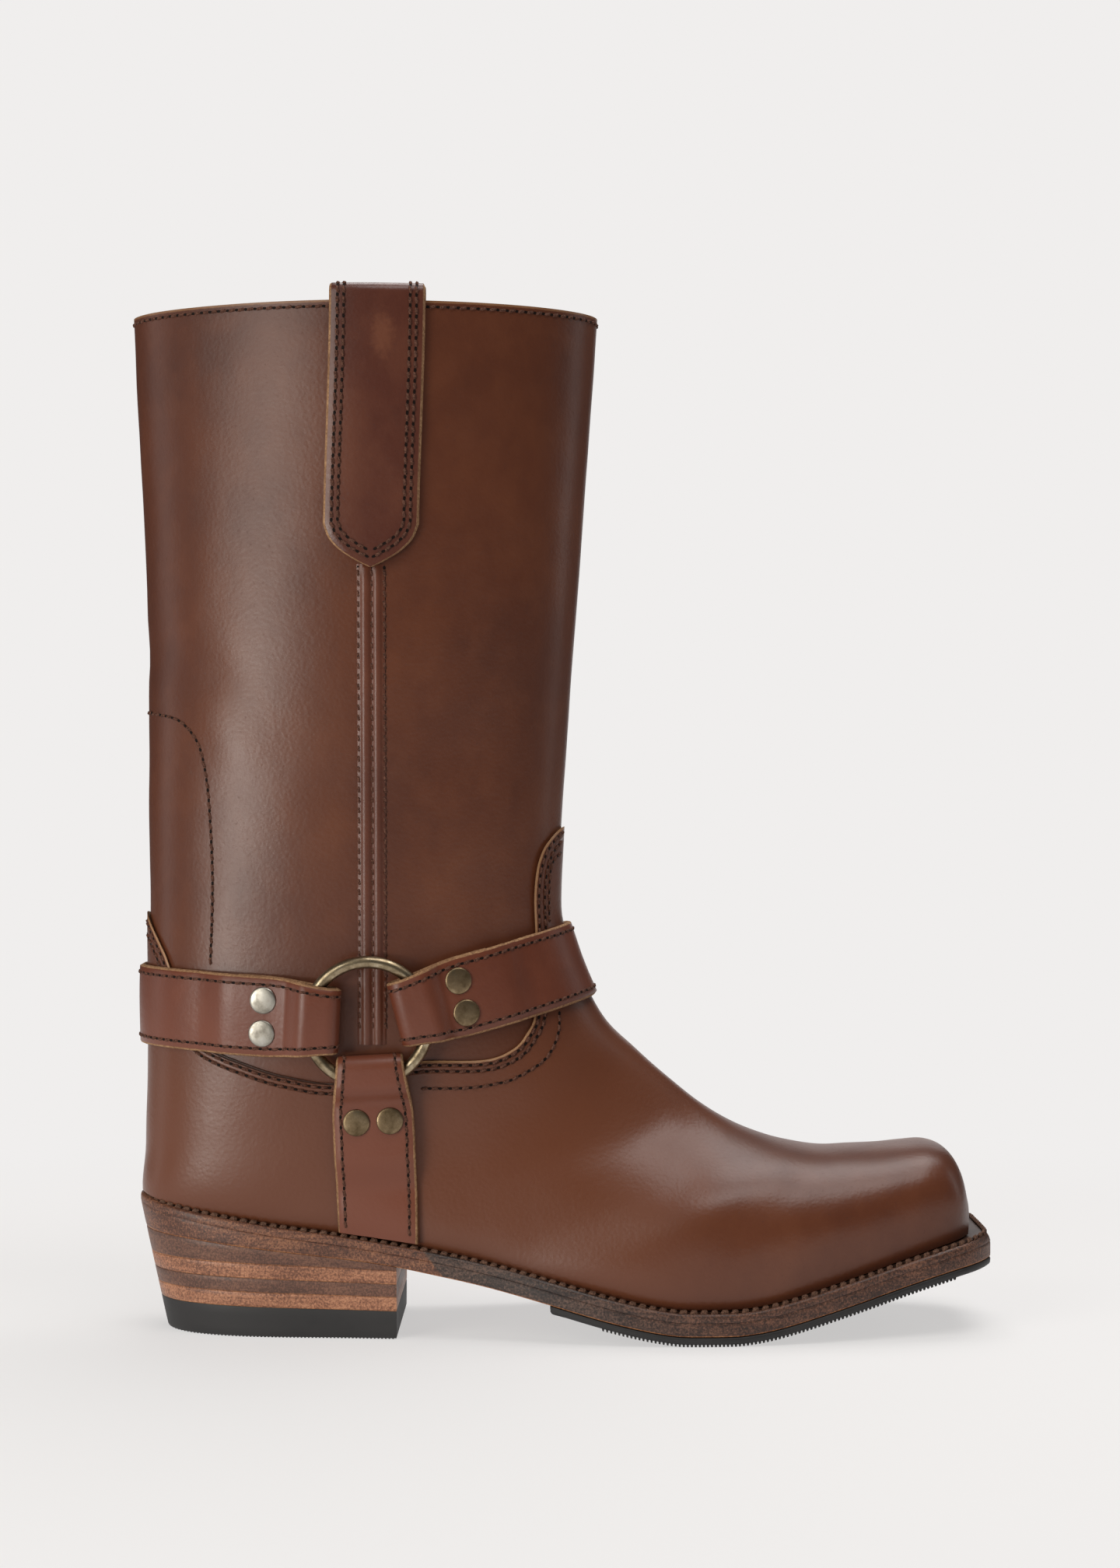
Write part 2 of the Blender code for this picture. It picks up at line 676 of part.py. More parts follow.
def make_round_strap(name, skin, frames, slope, start, end, rivet_at, finishes):
    line = line_round(skin, slope, start, end)
    ribbon = Ribbon(skin, line, frames[OUTER_SIDE], frames[INNER_SIDE])
    first = fold_path()
    begin, finish = first[-1][0], line.length - first[-1][0]
    count = max(int((finish - begin) / STRAP_STEP), 2)
    middle = [(begin + (finish - begin) * k / count, STRAP_LIFT) for k in range(1, count)]
    last = [(line.length - s, lift) for s, lift in reversed(first)]
    ribbon_solid(name, ribbon, first + middle + last, finishes["strap"])
    for side, s in ((OUTER_SIDE, rivet_at), (INNER_SIDE, line.length - rivet_at)):
        rivet_pair(f"{name}_{SIDE_NAMES[side]}", ribbon, s, side, finishes["brass"])


def make_stirrup(skin, frame, side, finishes):
    line = line_down(skin, side)
    shear = (feather_z(STIRRUP_LOW_X - STRAP_HALF) - feather_z(STIRRUP_LOW_X + STRAP_HALF)) / (2 * STRAP_HALF)
    ribbon = Ribbon(skin, line, frame, end_shear=-side * shear)
    path = fold_path(STIRRUP_FOLD_START)
    begin, end = path[-1][0], line.length - STIRRUP_SEAT
    path += [(begin + (end - begin) * k / 3, STRAP_LIFT + STIRRUP_SPARE * k / 3) for k in (1, 2, 3)]
    name = f"stirrup_{SIDE_NAMES[side]}"
    ribbon_solid(name, ribbon, path, finishes["strap"])
    rivet_pair(name, ribbon, STIRRUP_RIVET, side, finishes["brass"])


def rivet_pair(name, ribbon, s, side, finish):
    """Two domed rivets across a strap, on its outer layer."""
    top = STRAP_LIFT + STRAP_THICK * 1.5 + GAP
    share = RIVET_SPREAD / ribbon.half_width(s)
    for number, place in ((1, -share), (2, share)):
        seat = ribbon.point(s, place, top + GAP)
        out = (ribbon.point(s, place, top + 2.0) - ribbon.point(s, place, top)).normalized()
        rivet(f"rivet_{name}_{number}", seat, out, finish)


def rivet(name, seat, out, finish):
    turn = out.to_track_quat("Z", "Y")
    profile = ((RIVET_RADIUS * 0.94, 0.0), (RIVET_RADIUS, 0.35), (RIVET_RADIUS * 0.78, 1.15))
    points, count = [], 12
    for radius, height in profile:
        for k in range(count):
            angle = 2 * math.pi * k / count
            spot = Vector((radius * math.cos(angle), radius * math.sin(angle), height))
            points.append(seat + turn @ spot)
    points.append(seat + out * RIVET_HEIGHT)
    faces = [tuple(reversed(range(count)))]
    faces += ring_faces(len(profile), count, closed_ends=False)
    low = (len(profile) - 1) * count
    faces += [(low + k, low + (k + 1) % count, len(points) - 1) for k in range(count)]
    new_object(name, points, faces, finish)


def make_ring(name, frame, finish):
    turn = frame.out.to_track_quat("Z", "Y")
    middle = RING_INNER + RING_WIRE / 2
    points = []
    for i in range(RING_SEGMENTS):
        angle = 2 * math.pi * i / RING_SEGMENTS
        for j in range(RING_SIDES):
            around = 2 * math.pi * (j + 0.5) / RING_SIDES
            reach = middle + RING_WIRE / 2 * math.cos(around)
            spot = Vector((reach * math.cos(angle), reach * math.sin(angle), RING_WIRE / 2 * math.sin(around)))
            points.append(frame.centre + turn @ spot)
    new_object(name, points, ring_faces(RING_SEGMENTS, RING_SIDES, loop=True), finish)


# Pull straps and side seams
def pull_half_width(z):
    return lookup(PULL_TIP, z)


def make_pull(name, skin, side, finish):
    """A flat strap from its pointed tip outside, over the collar and down inside."""
    centre_depth = -WALL / 2
    radius = WALL / 2 + PULL_GAP + PULL_THICK / 2
    turn_z = PULL_TOP_Z - radius - PULL_THICK / 2
    outside = [z for z, _ in PULL_TIP] + [305.0, 325.0, 345.0, 358.0]
    path = [(z, centre_depth + radius) for z in outside]
    for degrees in (0, 30, 60, 90, 120, 150, 180):
        angle = math.radians(degrees)
        path.append((turn_z + radius * math.sin(angle), centre_depth + radius * math.cos(angle)))
    path += [(z, centre_depth - radius) for z in (352.0, 337.0, PULL_INSIDE_Z)]
    left, right = thicken(path, PULL_THICK)
    points = []
    for index, (one, other) in enumerate(zip(left, right)):
        half = pull_half_width(path[index][0]) if index < len(outside) else PULL_HALF
        for (z, depth), shares in ((one, PULL_SHARES), (other, PULL_SHARES[::-1])):
            for share in shares:
                middle = PULL_X_TIP + (PULL_X_TOP - PULL_X_TIP) * smooth(271.0, 370.0, z)
                x = middle + share * half
                place, _ = skin.side(x, z, side)
                points.append((x, place.y + side * depth, z))
    new_object(name, points, ring_faces(len(path), 2 * len(PULL_SHARES)), finish)


def make_seam(name, skin, side, finish):
    """Raised piping that covers the join at the side of the shaft."""
    points, count = [], 12
    for k in range(count + 1):
        z = SEAM_BOTTOM_Z + (SEAM_TOP_Z - SEAM_BOTTOM_Z) * k / count
        for across, height in SEAM_PROFILE:
            place, normal = skin.side(SEAM_X + across, z, side)
            points.append(place + normal * height)
    new_object(name, points, ring_faces(count + 1, len(SEAM_PROFILE)), finish)


def centre_over_floor():
    """Put the frame's origin under the middle of the whole boot's box, on the floor."""
    items = list(bpy.context.collection.objects)
    places = [vertex.co for item in items for vertex in item.data.vertices]
    shift = Vector((0.0, 0.0, -min(place.z for place in places)))
    for axis in (0, 1):
        shift[axis] = -(min(place[axis] for place in places) + max(place[axis] for place in places)) / 2
    for item in items:
        for vertex in item.data.vertices:
            vertex.co += shift
        item.data.update()


def main():
    clear_scene()
    finishes = {
        "leather": material("oiled leather", (0.150, 0.052, 0.026), 0.42),
        "strap": material("strap leather", (0.165, 0.050, 0.024), 0.38),
        "pull": material("pull strap leather", (0.090, 0.028, 0.018), 0.36),
        "welt": material("welt leather", (0.075, 0.034, 0.022), 0.50),
        "edge": material("burnished sole edge", (0.110, 0.045, 0.026), 0.38),
        "lift": material("heel lift leather", (0.170, 0.075, 0.040), 0.40),
        "rubber": material("black rubber", (0.012, 0.011, 0.011), 0.60),
        "insole": material("insole leather", (0.240, 0.140, 0.080), 0.65),
        "brass": material("antique brass", (0.360, 0.250, 0.120), 0.35, 1.0),
    }
    skin = Skin(finishes["leather"])
    make_upper(finishes["leather"])
    make_sole(skin, finishes)
    frames = {side: RingFrame(skin, side) for side in (OUTER_SIDE, INNER_SIDE)}
    make_round_strap("strap_heel", skin, frames, HEEL_STRAP_SLOPE, 270, 90, HEEL_RIVET, finishes)
    make_round_strap("strap_front", skin, frames, FRONT_STRAP_SLOPE, -90, 90, FRONT_RIVET, finishes)
    for side, frame in frames.items():
        word = SIDE_NAMES[side]
        make_stirrup(skin, frame, side, finishes)
        make_ring(f"ring_{word}", frame, finishes["brass"])
        make_pull(f"pull_{word}", skin, side, finishes["pull"])
        make_seam(f"seam_{word}", skin, side, finishes["leather"])
    centre_over_floor()


main()
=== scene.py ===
"""Looks of a harness boot: its leather, stitches, straps, rings and stacked heel.

Sizes are in millimetres in the boot's own frame; meshes are made in metres.
"""

import math
import random
from collections import namedtuple

import bmesh
import bpy
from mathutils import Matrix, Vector, noise
from mathutils.bvhtree import BVHTree
from mathutils.kdtree import KDTree


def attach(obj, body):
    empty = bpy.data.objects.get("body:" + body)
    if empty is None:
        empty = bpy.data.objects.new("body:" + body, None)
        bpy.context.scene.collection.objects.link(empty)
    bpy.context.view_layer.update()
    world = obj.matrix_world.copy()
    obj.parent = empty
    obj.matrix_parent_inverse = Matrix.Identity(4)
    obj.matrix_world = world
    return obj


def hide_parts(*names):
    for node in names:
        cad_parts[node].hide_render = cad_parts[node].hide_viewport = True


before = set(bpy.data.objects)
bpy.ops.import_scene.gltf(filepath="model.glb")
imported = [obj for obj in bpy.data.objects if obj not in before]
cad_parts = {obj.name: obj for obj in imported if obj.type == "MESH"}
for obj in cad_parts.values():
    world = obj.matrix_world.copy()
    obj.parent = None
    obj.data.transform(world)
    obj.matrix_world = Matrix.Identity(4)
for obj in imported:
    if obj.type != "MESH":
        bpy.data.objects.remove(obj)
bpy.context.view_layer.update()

# Driving dimensions, as in the part
MM = 0.001
SHIFT = Vector((1.6222, -1.3234, 0.0))
GAP = 0.3
SEAT_GAP = 0.5
WALL = 1.8
OVERLAY = 1.2
COLLAR_Z = 364.0
END_CROWDING = 0.19
WELT_THICK = 3.2
WELT_LOW = SEAT_GAP + WELT_THICK
RUBBER_THICK = 3.2
RUBBER_START_X = -5.0
HEEL_BREAST_X = -59.0
HEEL_TAPER_BACK = 0.21
HEEL_TAPER_SIDE = 0.10
HEEL_JOINT_BACK_X = -149.0
HEEL_SET_IN = 2.0
STRAP_THICK = 2.2
STRAP_HALF = 14.2
STRAP_FOLD_HALF = 11.6
STRAP_LIFT = OVERLAY + SEAT_GAP + STRAP_THICK / 2
RING_X = -69.0
RING_Z = 112.5
RING_INNER = 19.0
RING_WIRE = 4.4
FOLD_RADIUS = RING_WIRE / 2 + GAP + STRAP_THICK / 2
RING_LIFT = STRAP_LIFT + FOLD_RADIUS
FOLD_START = 9.7
STIRRUP_FOLD_START = 11.3
TAIL_BLEND = 16.0
TAIL_LENGTH = 36.0
STIRRUP_LOW_X = -65.0
STIRRUP_SEAT = 1.2
STIRRUP_SPARE = 0.5
HEEL_STRAP_SLOPE = -0.052
FRONT_STRAP_SLOPE = 0.262
STIRRUP_RIVET = 35.2
INNER_RING_DEGREES = 90
# The straps round the boot: name, slope, the outer ring's degrees and the rivets' place
ROUND_STRAPS = (
    ("strap_heel", HEEL_STRAP_SLOPE, 270, 35.9),
    ("strap_front", FRONT_STRAP_SLOPE, -90, 33.2),
)
RIVET_RADIUS = 4.75
RIVET_SPREAD = 5.8
PULL_HALF = 16.7
PULL_THICK = 2.4
PULL_GAP = 0.5
PULL_TOP_Z = 370.0
PULL_INSIDE_Z = 322.0
PULL_X_TOP = -65.0
PULL_X_TIP = -67.6
SEAM_TOP_Z = 269.0
SEAM_BOTTOM_Z = 104.0
SEAM_X = -67.3
OUTER_SIDE = -1
INNER_SIDE = 1
SIDE_NAMES = {OUTER_SIDE: "outer", INNER_SIDE: "inner"}

# How finely the looks are made
AROUND = 120
FORM_STEPS = 8
# The part's own coarser form, on which its rings and their hinges lie
PART_AROUND = 30
PART_FORM_STEPS = 2
LINE_STEPS = 160
LINE_DOWN_STEPS = 40
RING_SEGMENTS = 144
RING_SIDES = 20
RIVET_SIDES = 40
SEAM_STEPS = 90
STITCH_LENGTH = 2.9
STITCH_GAP = 0.7
STITCH_RADIUS = 0.58
STITCH_SPREAD = (0.47, 0.53)
STITCH_SWAY = 0.08
# Painted shade in each stitch hole: a dark disc's length, width, lift above the leather and sides
HOLE_SHADE_LONG = 0.80
HOLE_SHADE_WIDE = 0.50
HOLE_SHADE_LIFT = 0.16
HOLE_SHADE_SIDES = 8

# Straps: where they leave the ring's plane for the skin, and how their outer layer comes down
FOLLOW_SKIN = (22.0, 34.0)
WIDEN_LENGTH = 26.0
SHEAR_START = 60.0
TAIL_STEPS = 8
OUTER_STEP = 0.9
OUTER_DROP = (-2.2, 6.4)
TAIL_STEP_OFF = 0.3
STRAP_STEP = 2.0
STRAP_STITCH_INSET = 2.9
EDGE_CUT = 0.8
STRAP_CROWN = 0.35
EDGE_RAGGED = 0.16
RIBBON_ACROSS = 5
FOLD_ARC_STEPS = 14
PULL_ACROSS = 5
PULL_STITCH_INSETS = (3.0, 5.2)
PULL_SLANT_Z = (271.0, 370.0)
PULL_STRAIGHT_Z = 358.0
PULL_TURNED_Z = 352.0
COLLAR_STITCH_Z = 361.8
SHAFT_CENTRE_X = -72.0
SHAFT_BACK_X = -100.0
OVERLAY_STITCH_INSETS = (1.6, 3.7)
WELT_INSET = 7.0
WELT_STITCH_INSET = 1.9
WELT_PITCH = 3.6
WELT_STITCH_SIZE = 1.35
WELT_STITCH_LIFT = 0.35
SEAM_LOOK_TOP_Z = 272.4
SEAM_FADE = 4.0
SEAM_FADED = 0.35
SEAM_ROWS = (-72.0, -67.3, -62.9)
STITCH_SIDES = 5
STITCH_TURN = 0.2
STITCH_STATIONS = ((0.0, -0.30, 0.5), (0.22, 0.08, 1.0), (0.78, 0.08, 1.0), (1.0, -0.30, 0.5))
CHANCE = random.Random(7)

# A rivet's cap, as shares of its radius and heights
RIVET_PROFILE = (
    (0.93, 0.0), (0.99, 0.12), (1.0, 0.4), (0.985, 0.66), (0.93, 0.88), (0.84, 0.99),
    (0.62, 1.10), (0.34, 1.17),
)

# Edge profiles: how far in, and how far down (a height in the welt, a share elsewhere)
WELT_PROFILE = (
    (2.2, 3.6, 0.5), (1.2, 2.4, 0.56), (0.5, 1.5, 0.85), (0.12, 0.95, 1.35),
    (0.0, 0.55, 1.95), (0.0, 0.0, 3.5), (0.05, 0.05, 3.66), (1.0, 1.0, 3.7),
)
SOLE_PROFILE = (
    (6.0, 0.0), (0.25, 0.0), (0.05, 0.05), (0.0, 0.2),
    (0.0, 0.8), (0.05, 0.93), (0.3, 1.0), (6.0, 1.0),
)
TOE_MARGIN_X = (118.0, 148.0)
BACK_TUCK_X = (-90.0, -150.0)
HEEL_ROUND_X = -115.0
HEEL_ROUND_TAPER = 0.3
RIB_SHARE = 0.62
RIB_LEAN = 0.1
RIB_ROOT = 0.2
RIB_DEPTH = 0.65
RIB_INSET = 0.5
RIB_PITCH = 1.4
RIB_START_X = 13.0
RIB_END_X = 140.0
HEEL_RIB_DEPTH = 0.35
HEEL_RIB_PITCH = 1.3
RUBBER_PROFILE = ((5.0, 0.0), (0.3, 0.0), (0.0, 0.12), (0.1, 0.7), (0.6, 0.95), (1.3, 1.0), (5.0, 1.0))
LAYER_GAP = 0.02
HEEL_PROFILE = (
    (5.0, 0.0), (0.16, 0.0), (0.02, 0.05), (0.0, 0.3),
    (0.0, 0.7), (0.02, 0.95), (0.16, 1.0), (5.0, 1.0),
)
# The piping's profile over the side seam: place across it and height
SEAM_LOOK = (
    (-5.4, -0.1), (-5.2, 0.28), (-4.3, 0.30), (-3.9, 0.45), (-3.4, 0.95), (-2.6, 1.22), (-1.8, 1.22),
    (-1.0, 0.92), (-0.45, 0.40), (0.0, 0.22), (0.4, 0.42), (0.9, 0.90), (1.6, 1.15), (2.3, 1.12),
    (3.0, 0.75), (3.4, 0.40), (3.7, 0.26), (4.6, 0.24), (4.8, -0.1),
)
# Stitch rows in the side view
VAMP_ROW = (
    (-1.8, 113.9), (-2.1, 107.4), (-4.8, 100.8), (-9.2, 96.2),
    (-17.9, 91.5), (-22.3, 90.2), (-33.8, 88.5), (-51.0, 88.5),
)
TONGUE_ROW = ((-1.3, 170.7), (-4.3, 167.2), (-5.4, 159.7), (-5.4, 145.5))
STAY_ROW = (
    (-150.8, 221.3), (-139.0, 219.0), (-132.9, 214.6), (-129.1, 208.6), (-126.9, 199.7), (-125.4, 186.5),
    (-124.3, 159.8), (-125.2, 131.2),
)

# The counter's cut edge is dark below the heel strap: its colour, the places where it ends in metres,
# and the cut faces that it covers in millimetres
EDGE_DARK_BELOW_STRAP = (0.040, 0.0160, 0.0095)
EDGE_DARK_BELOW_STRAP_X_FADE = (-0.0768, -0.0758)
EDGE_DARK_BELOW_STRAP_Z_FADE = (0.101, 0.103)
EDGE_DARK_BELOW_STRAP_X = -78.0
EDGE_DARK_BELOW_STRAP_Z = (60.0, 102.0)
# Painted light from the pale floor: a lighter tone low on the heel and the waist; start and end in metres,
# and the shares there
PAINTED_FLOOR_LIGHT_Z = (0.06, 0.16, 1.0, 0.0)
PAINTED_FLOOR_LIGHT_X = (0.02, 0.07, 1.0, 0.0)
# Wear creases: ends in the side view, width, depth, side (0 for both)
CREASES = (
    (((-150.0, 246.0), (-118.0, 232.0)), 7.0, 0.9, 0),
    (((-150.0, 238.0), (-124.0, 226.0)), 4.0, 0.5, 0),
    (((-128.0, 225.0), (-112.0, 205.0)), 9.0, -0.5, 0),
    (((2.0, 150.0), (-24.0, 138.0)), 6.0, 0.5, 0),
    (((10.0, 96.0), (34.0, 70.0)), 9.0, 0.6, 0),
    (((66.0, 62.0), (58.0, 34.0)), 7.0, 0.35, 0),
    (((40.0, 78.0), (14.0, 52.0)), 10.0, 0.4, 0),
    (((-52.0, 88.0), (-40.0, 60.0)), 9.0, 0.4, 0),
)
WAVE = 0.45
WAVE_FINE = 0.15

# The cut rim along the collar: where it starts and is full, in metres, and its colour
COLLAR_RIM = (0.36325, 0.36375)
RAW_LIGHT = (0.330, 0.170, 0.080)
# The cut band along the vamp's and counter's edge, in millimetres from it
CUT_BAND = (0.35, 0.75)
# The heel seat's warmer finish ends along a slanting line across the sole's edge, in metres
SEAT_FINISH_SLOPE = 0.8
SEAT_FINISH_END = (-0.0229, -0.0219)
SHANK_FINISH_END = (0.010, 0.075)
# Where a sole edge's dark, middle and light tones lie on its noise
SOLE_STOPS = (0.42, 0.50, 0.59)
# A rubbed spot near the pull strap's fold, in metres
RUBBED_PLACE = (-0.0615, -0.047, 0.3517)
RUBBED_SHAPE = (1.4, 0.2, 0.7)
RUBBED_COLOUR = (0.190, 0.068, 0.034)

# The studio, in metres and watts: each light's name, place, target, size, power and colour
SENSOR = 36.0
CAMERA_DISTANCE = 1.08
PICTURE_HEIGHT = 0.5697
CAMERA_X = 0.00007
CAMERA_Z = 0.1956
BACKDROP_HALF = 1.0
BACKDROP_FAR = 2.6
BACKDROP_HIGH = 1.35
FLOOR_NEAR = 1.2
BACKDROP_COLOUR = (0.871, 0.855, 0.847)
FLOOR_COLOUR = (0.300, 0.294, 0.290)
FLOOR_GLOW = 0.635
FLOOR_FADE = (0.26, 0.60)
WORLD_COLOUR = (1.0, 0.99, 0.98)
WORLD_STRENGTH = 0.07
LIGHTS = (
    ("key", (-1.16, -1.32, 0.70), (-0.05, 0.0, 0.20), (1.0, 1.6), 16.8, (1.0, 0.985, 0.92)),
    ("low_key", (-1.02, -1.15, 0.055), (-0.12, 0.0, 0.07), (0.45, 0.09), 4.5, (1.0, 0.98, 0.92)),
    ("left", (-1.5, 0.1, 0.35), (-0.10, 0.0, 0.18), (0.4, 1.0), 1.8, (1.0, 1.0, 1.0)),
    ("top_front", (0.42, -0.7, 1.9), (0.06, 0.0, 0.08), (1.2, 0.8), 15.0, (1.0, 0.99, 0.98)),
    ("top_back", (0.20, 0.45, 1.5), (0.06, 0.0, 0.08), (1.2, 0.9), 15.0, (1.0, 0.99, 0.98)),
    ("right", (1.5, 0.35, 0.6), (0.03, 0.0, 0.15), (0.3, 1.0), 1.5, (1.0, 1.0, 1.0)),
)

Section = namedtuple(
    "Section",
    "back_x back_z front_x front_z outer inner middle widest back_power front_power",
)
FORM = (
    Section(-156.6, 376.0, 12.7, 376.0, 47.5, 47.5, 0.0, 0.50, 1.70, 1.90),
    Section(-155.4, 345.0, 10.9, 345.0, 46.5, 46.5, 0.0, 0.50, 1.72, 1.92),
    Section(-153.1, 300.0, 7.6, 300.0, 44.5, 44.5, 0.0, 0.50, 1.80, 1.95),
    Section(-151.2, 255.0, 4.2, 255.0, 42.3, 42.3, 0.0, 0.50, 1.90, 2.00),
    Section(-150.8, 212.0, 1.1, 214.0, 40.0, 40.0, 0.0, 0.50, 2.00, 2.05),
    Section(-150.6, 176.0, -1.2, 178.0, 38.0, 38.0, 0.0, 0.50, 2.10, 2.10),
    Section(-150.1, 145.0, -1.8, 151.0, 36.6, 36.6, 0.0, 0.49, 2.20, 2.20),
    Section(-149.6, 118.0, 2.9, 131.0, 35.6, 35.6, 0.0, 0.48, 2.30, 2.20),
    Section(-149.9, 92.0, 12.9, 111.0, 34.6, 34.6, 0.0, 0.47, 2.40, 2.20),
    Section(-150.6, 66.0, 25.2, 98.8, 33.6, 33.6, 0.0, 0.46, 2.55, 2.20),
    Section(-150.5, 45.0, 37.6, 87.8, 32.8, 32.6, 0.0, 0.46, 2.75, 2.20),
    Section(-136.0, 34.0, 49.4, 78.2, 33.0, 32.4, 0.5, 0.50, 3.00, 2.20),
    Section(-96.0, 29.0, 60.6, 71.6, 35.0, 34.0, 1.0, 0.52, 3.10, 2.20),
    Section(-52.0, 22.0, 73.4, 66.9, 38.6, 37.0, 1.0, 0.50, 3.20, 2.20),
    Section(-10.0, 11.5, 84.2, 64.4, 45.4, 43.6, 1.0, 0.45, 3.30, 2.20),
    Section(28.0, 4.0, 94.1, 63.1, 46.6, 45.6, 1.5, 0.38, 3.40, 2.25),
    Section(60.0, 3.5, 104.0, 63.3, 44.6, 45.4, 2.5, 0.34, 3.40, 2.35),
    Section(86.0, 9.0, 114.0, 63.5, 40.4, 42.4, 3.5, 0.34, 3.40, 2.50),
    Section(107.0, 16.0, 124.0, 64.2, 36.2, 38.2, 4.5, 0.36, 3.40, 2.65),
    Section(122.0, 21.0, 132.0, 64.3, 33.0, 34.6, 5.2, 0.38, 3.40, 2.80),
    Section(132.0, 24.0, 138.2, 61.6, 29.8, 31.2, 5.6, 0.40, 3.30, 2.90),
    Section(139.0, 26.0, 142.2, 55.2, 25.4, 26.6, 5.8, 0.42, 3.10, 2.90),
    Section(143.6, 29.0, 144.4, 46.5, 19.0, 20.0, 5.8, 0.45, 2.80, 2.80),
)

# Heights along the length: where the upper meets the welt, and the outsole's lower face.
FEATHER = (
    (-175.0, 53.0), (-151.0, 49.0), (-142.0, 46.6), (-105.0, 40.3), (-84.0, 37.6), (-66.0, 35.0),
    (-46.0, 31.6), (-26.0, 27.5), (-5.0, 22.3), (14.0, 17.2), (30.0, 13.6), (42.0, 12.0), (60.0, 12.0),
    (75.0, 14.3), (102.0, 21.9), (124.0, 28.6), (140.0, 33.0), (156.0, 36.4), (175.0, 40.0),
)
OUTSOLE_LOW = (
    (-175.0, 38.5), (-151.0, 36.4), (-102.0, 31.0), (-66.0, 27.0), (-46.0, 23.4), (-26.0, 19.2),
    (-5.0, 13.9), (14.0, 8.7), (30.0, 5.1), (42.0, 3.5), (60.0, 3.5), (75.0, 5.8), (102.0, 13.4),
    (124.0, 20.1), (140.0, 24.3), (156.0, 27.0), (175.0, 30.0),
)
# How far the welt stands out past the upper.
WELT_MARGIN = (
    (-160.0, 0.4), (-150.0, 0.7), (-140.0, 1.9), (-115.0, 3.4), (-60.0, 4.4),
    (0.0, 4.6), (60.0, 5.0), (115.0, 6.2), (135.0, 7.4), (150.0, 8.2),
)
# Lines between the heel's layers: height at the back and at the breast.
HEEL_LINES = ((27.6, 24.4), (22.3, 19.6), (17.0, 14.8), (11.6, 10.0))

# The edge of the vamp and the counter on the shaft, seen from the side, from back to front.
OVERLAY_EDGE = (
    (-152.5, 151.0), (-150.5, 148.4), (-147.4, 143.5), (-144.1, 137.9), (-141.0, 131.7),
    (-134.5, 114.0), (-129.0, 104.5), (-121.6, 100.2), (-112.8, 97.0), (-104.3, 94.2), (-97.0, 92.5),
    (-84.0, 90.4), (-72.0, 92.0), (-60.0, 96.6), (-48.7, 98.2), (-28.1, 98.3), (-18.0, 102.0),
    (-13.2, 107.5), (-10.6, 113.5), (-9.9, 128.0), (-10.3, 142.0), (-10.7, 155.0), (-9.9, 164.5),
    (-8.2, 170.6), (-5.7, 175.0), (-1.0, 179.7), (6.0, 181.5),
)

# The pull strap's half width up from its tip.
PULL_TIP = ((271.3, 0.8), (273.4, 5.0), (276.6, 10.2), (281.0, 14.6), (286.2, 16.7))


def lookup(table, at):
    """Read a (place, value) table smoothly at one place."""
    count = len(table)
    if at <= table[0][0]:
        return table[0][1]
    if at >= table[-1][0]:
        return table[-1][1]
    index = max(i for i in range(count - 1) if table[i][0] <= at)
    (x0, y0), (x1, y1) = table[index], table[index + 1]
    before = table[max(index - 1, 0)]
    after = table[min(index + 2, count - 1)]
    slope0 = (y1 - before[1]) / (x1 - before[0])
    slope1 = (after[1] - y0) / (after[0] - x0)
    if y0 == y1:
        slope0 = slope1 = 0.0
    span = x1 - x0
    t = (at - x0) / span
    return (
        y0 * (2 * t ** 3 - 3 * t ** 2 + 1)
        + slope0 * span * (t ** 3 - 2 * t ** 2 + t)
        + y1 * (3 * t ** 2 - 2 * t ** 3)
        + slope1 * span * (t ** 3 - t ** 2)
    )


def smooth(low, high, at):
    t = min(max((at - low) / (high - low), 0.0), 1.0)
    return t * t * (3 - 2 * t)


def soft_step(low, high, at):
    """A step without a sudden bend, so that its reflections have no hard edge."""
    t = min(max((at - low) / (high - low), 0.0), 1.0)
    return t * t * t * (t * (6 * t - 15) + 10)


def feather_z(x):
    return lookup(FEATHER, x)


def outsole_z(x):
    return lookup(OUTSOLE_LOW, x)


def catmull(a, b, c, d, t):
    square, cube = 2 * a - 5 * b + 4 * c - d, 3 * b - a - 3 * c + d
    return 0.5 * (2 * b + (c - a) * t + square * t ** 2 + cube * t ** 3)


def smooth_line(points, steps):
    """A smooth line through a few points, with a number of steps between two of them."""
    points = [Vector(point) for point in points]
    last = len(points) - 1
    line = []
    for i in range(last):
        four = points[max(i - 1, 0)], points[i], points[i + 1], points[min(i + 2, last)]
        line += [catmull(*four, step / steps) for step in range(steps)]
    line.append(points[last])
    return line


def offset_line(line, distance):
    """A flat line moved to its right."""
    moved = []
    for i, point in enumerate(line):
        along = (line[min(i + 1, len(line) - 1)] - line[max(i - 1, 0)]).normalized()
        moved.append(point + Vector((along.y, -along.x)) * distance)
    return moved


def new_object(name, points, faces, finishes, indices=None, angle=42):
    """Make one smoothly shaded mesh object from points in millimetres."""
    mesh = bpy.data.meshes.new(name)
    mesh.from_pydata([tuple((Vector(p) + SHIFT) * MM) for p in points], [], faces)
    for finish in finishes if isinstance(finishes, (list, tuple)) else [finishes]:
        mesh.materials.append(finish)
    if indices:
        mesh.polygons.foreach_set("material_index", indices)
    work = bmesh.new()
    work.from_mesh(mesh)
    bmesh.ops.recalc_face_normals(work, faces=work.faces)
    work.to_mesh(mesh)
    work.free()
    item = bpy.data.objects.new(name, mesh)
    bpy.context.scene.collection.objects.link(item)
    shade(item, angle)
    return item


def shade(item, degrees=42):
    item.data.shade_smooth()
    item.data.set_sharp_from_angle(angle=math.radians(degrees))


def settle(item, slot, *nodes, body="root"):
    """Fix a piece to its body and hide what it stands for; the slot is not used."""
    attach(item, body)
    if nodes:
        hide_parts(*nodes)
    return item


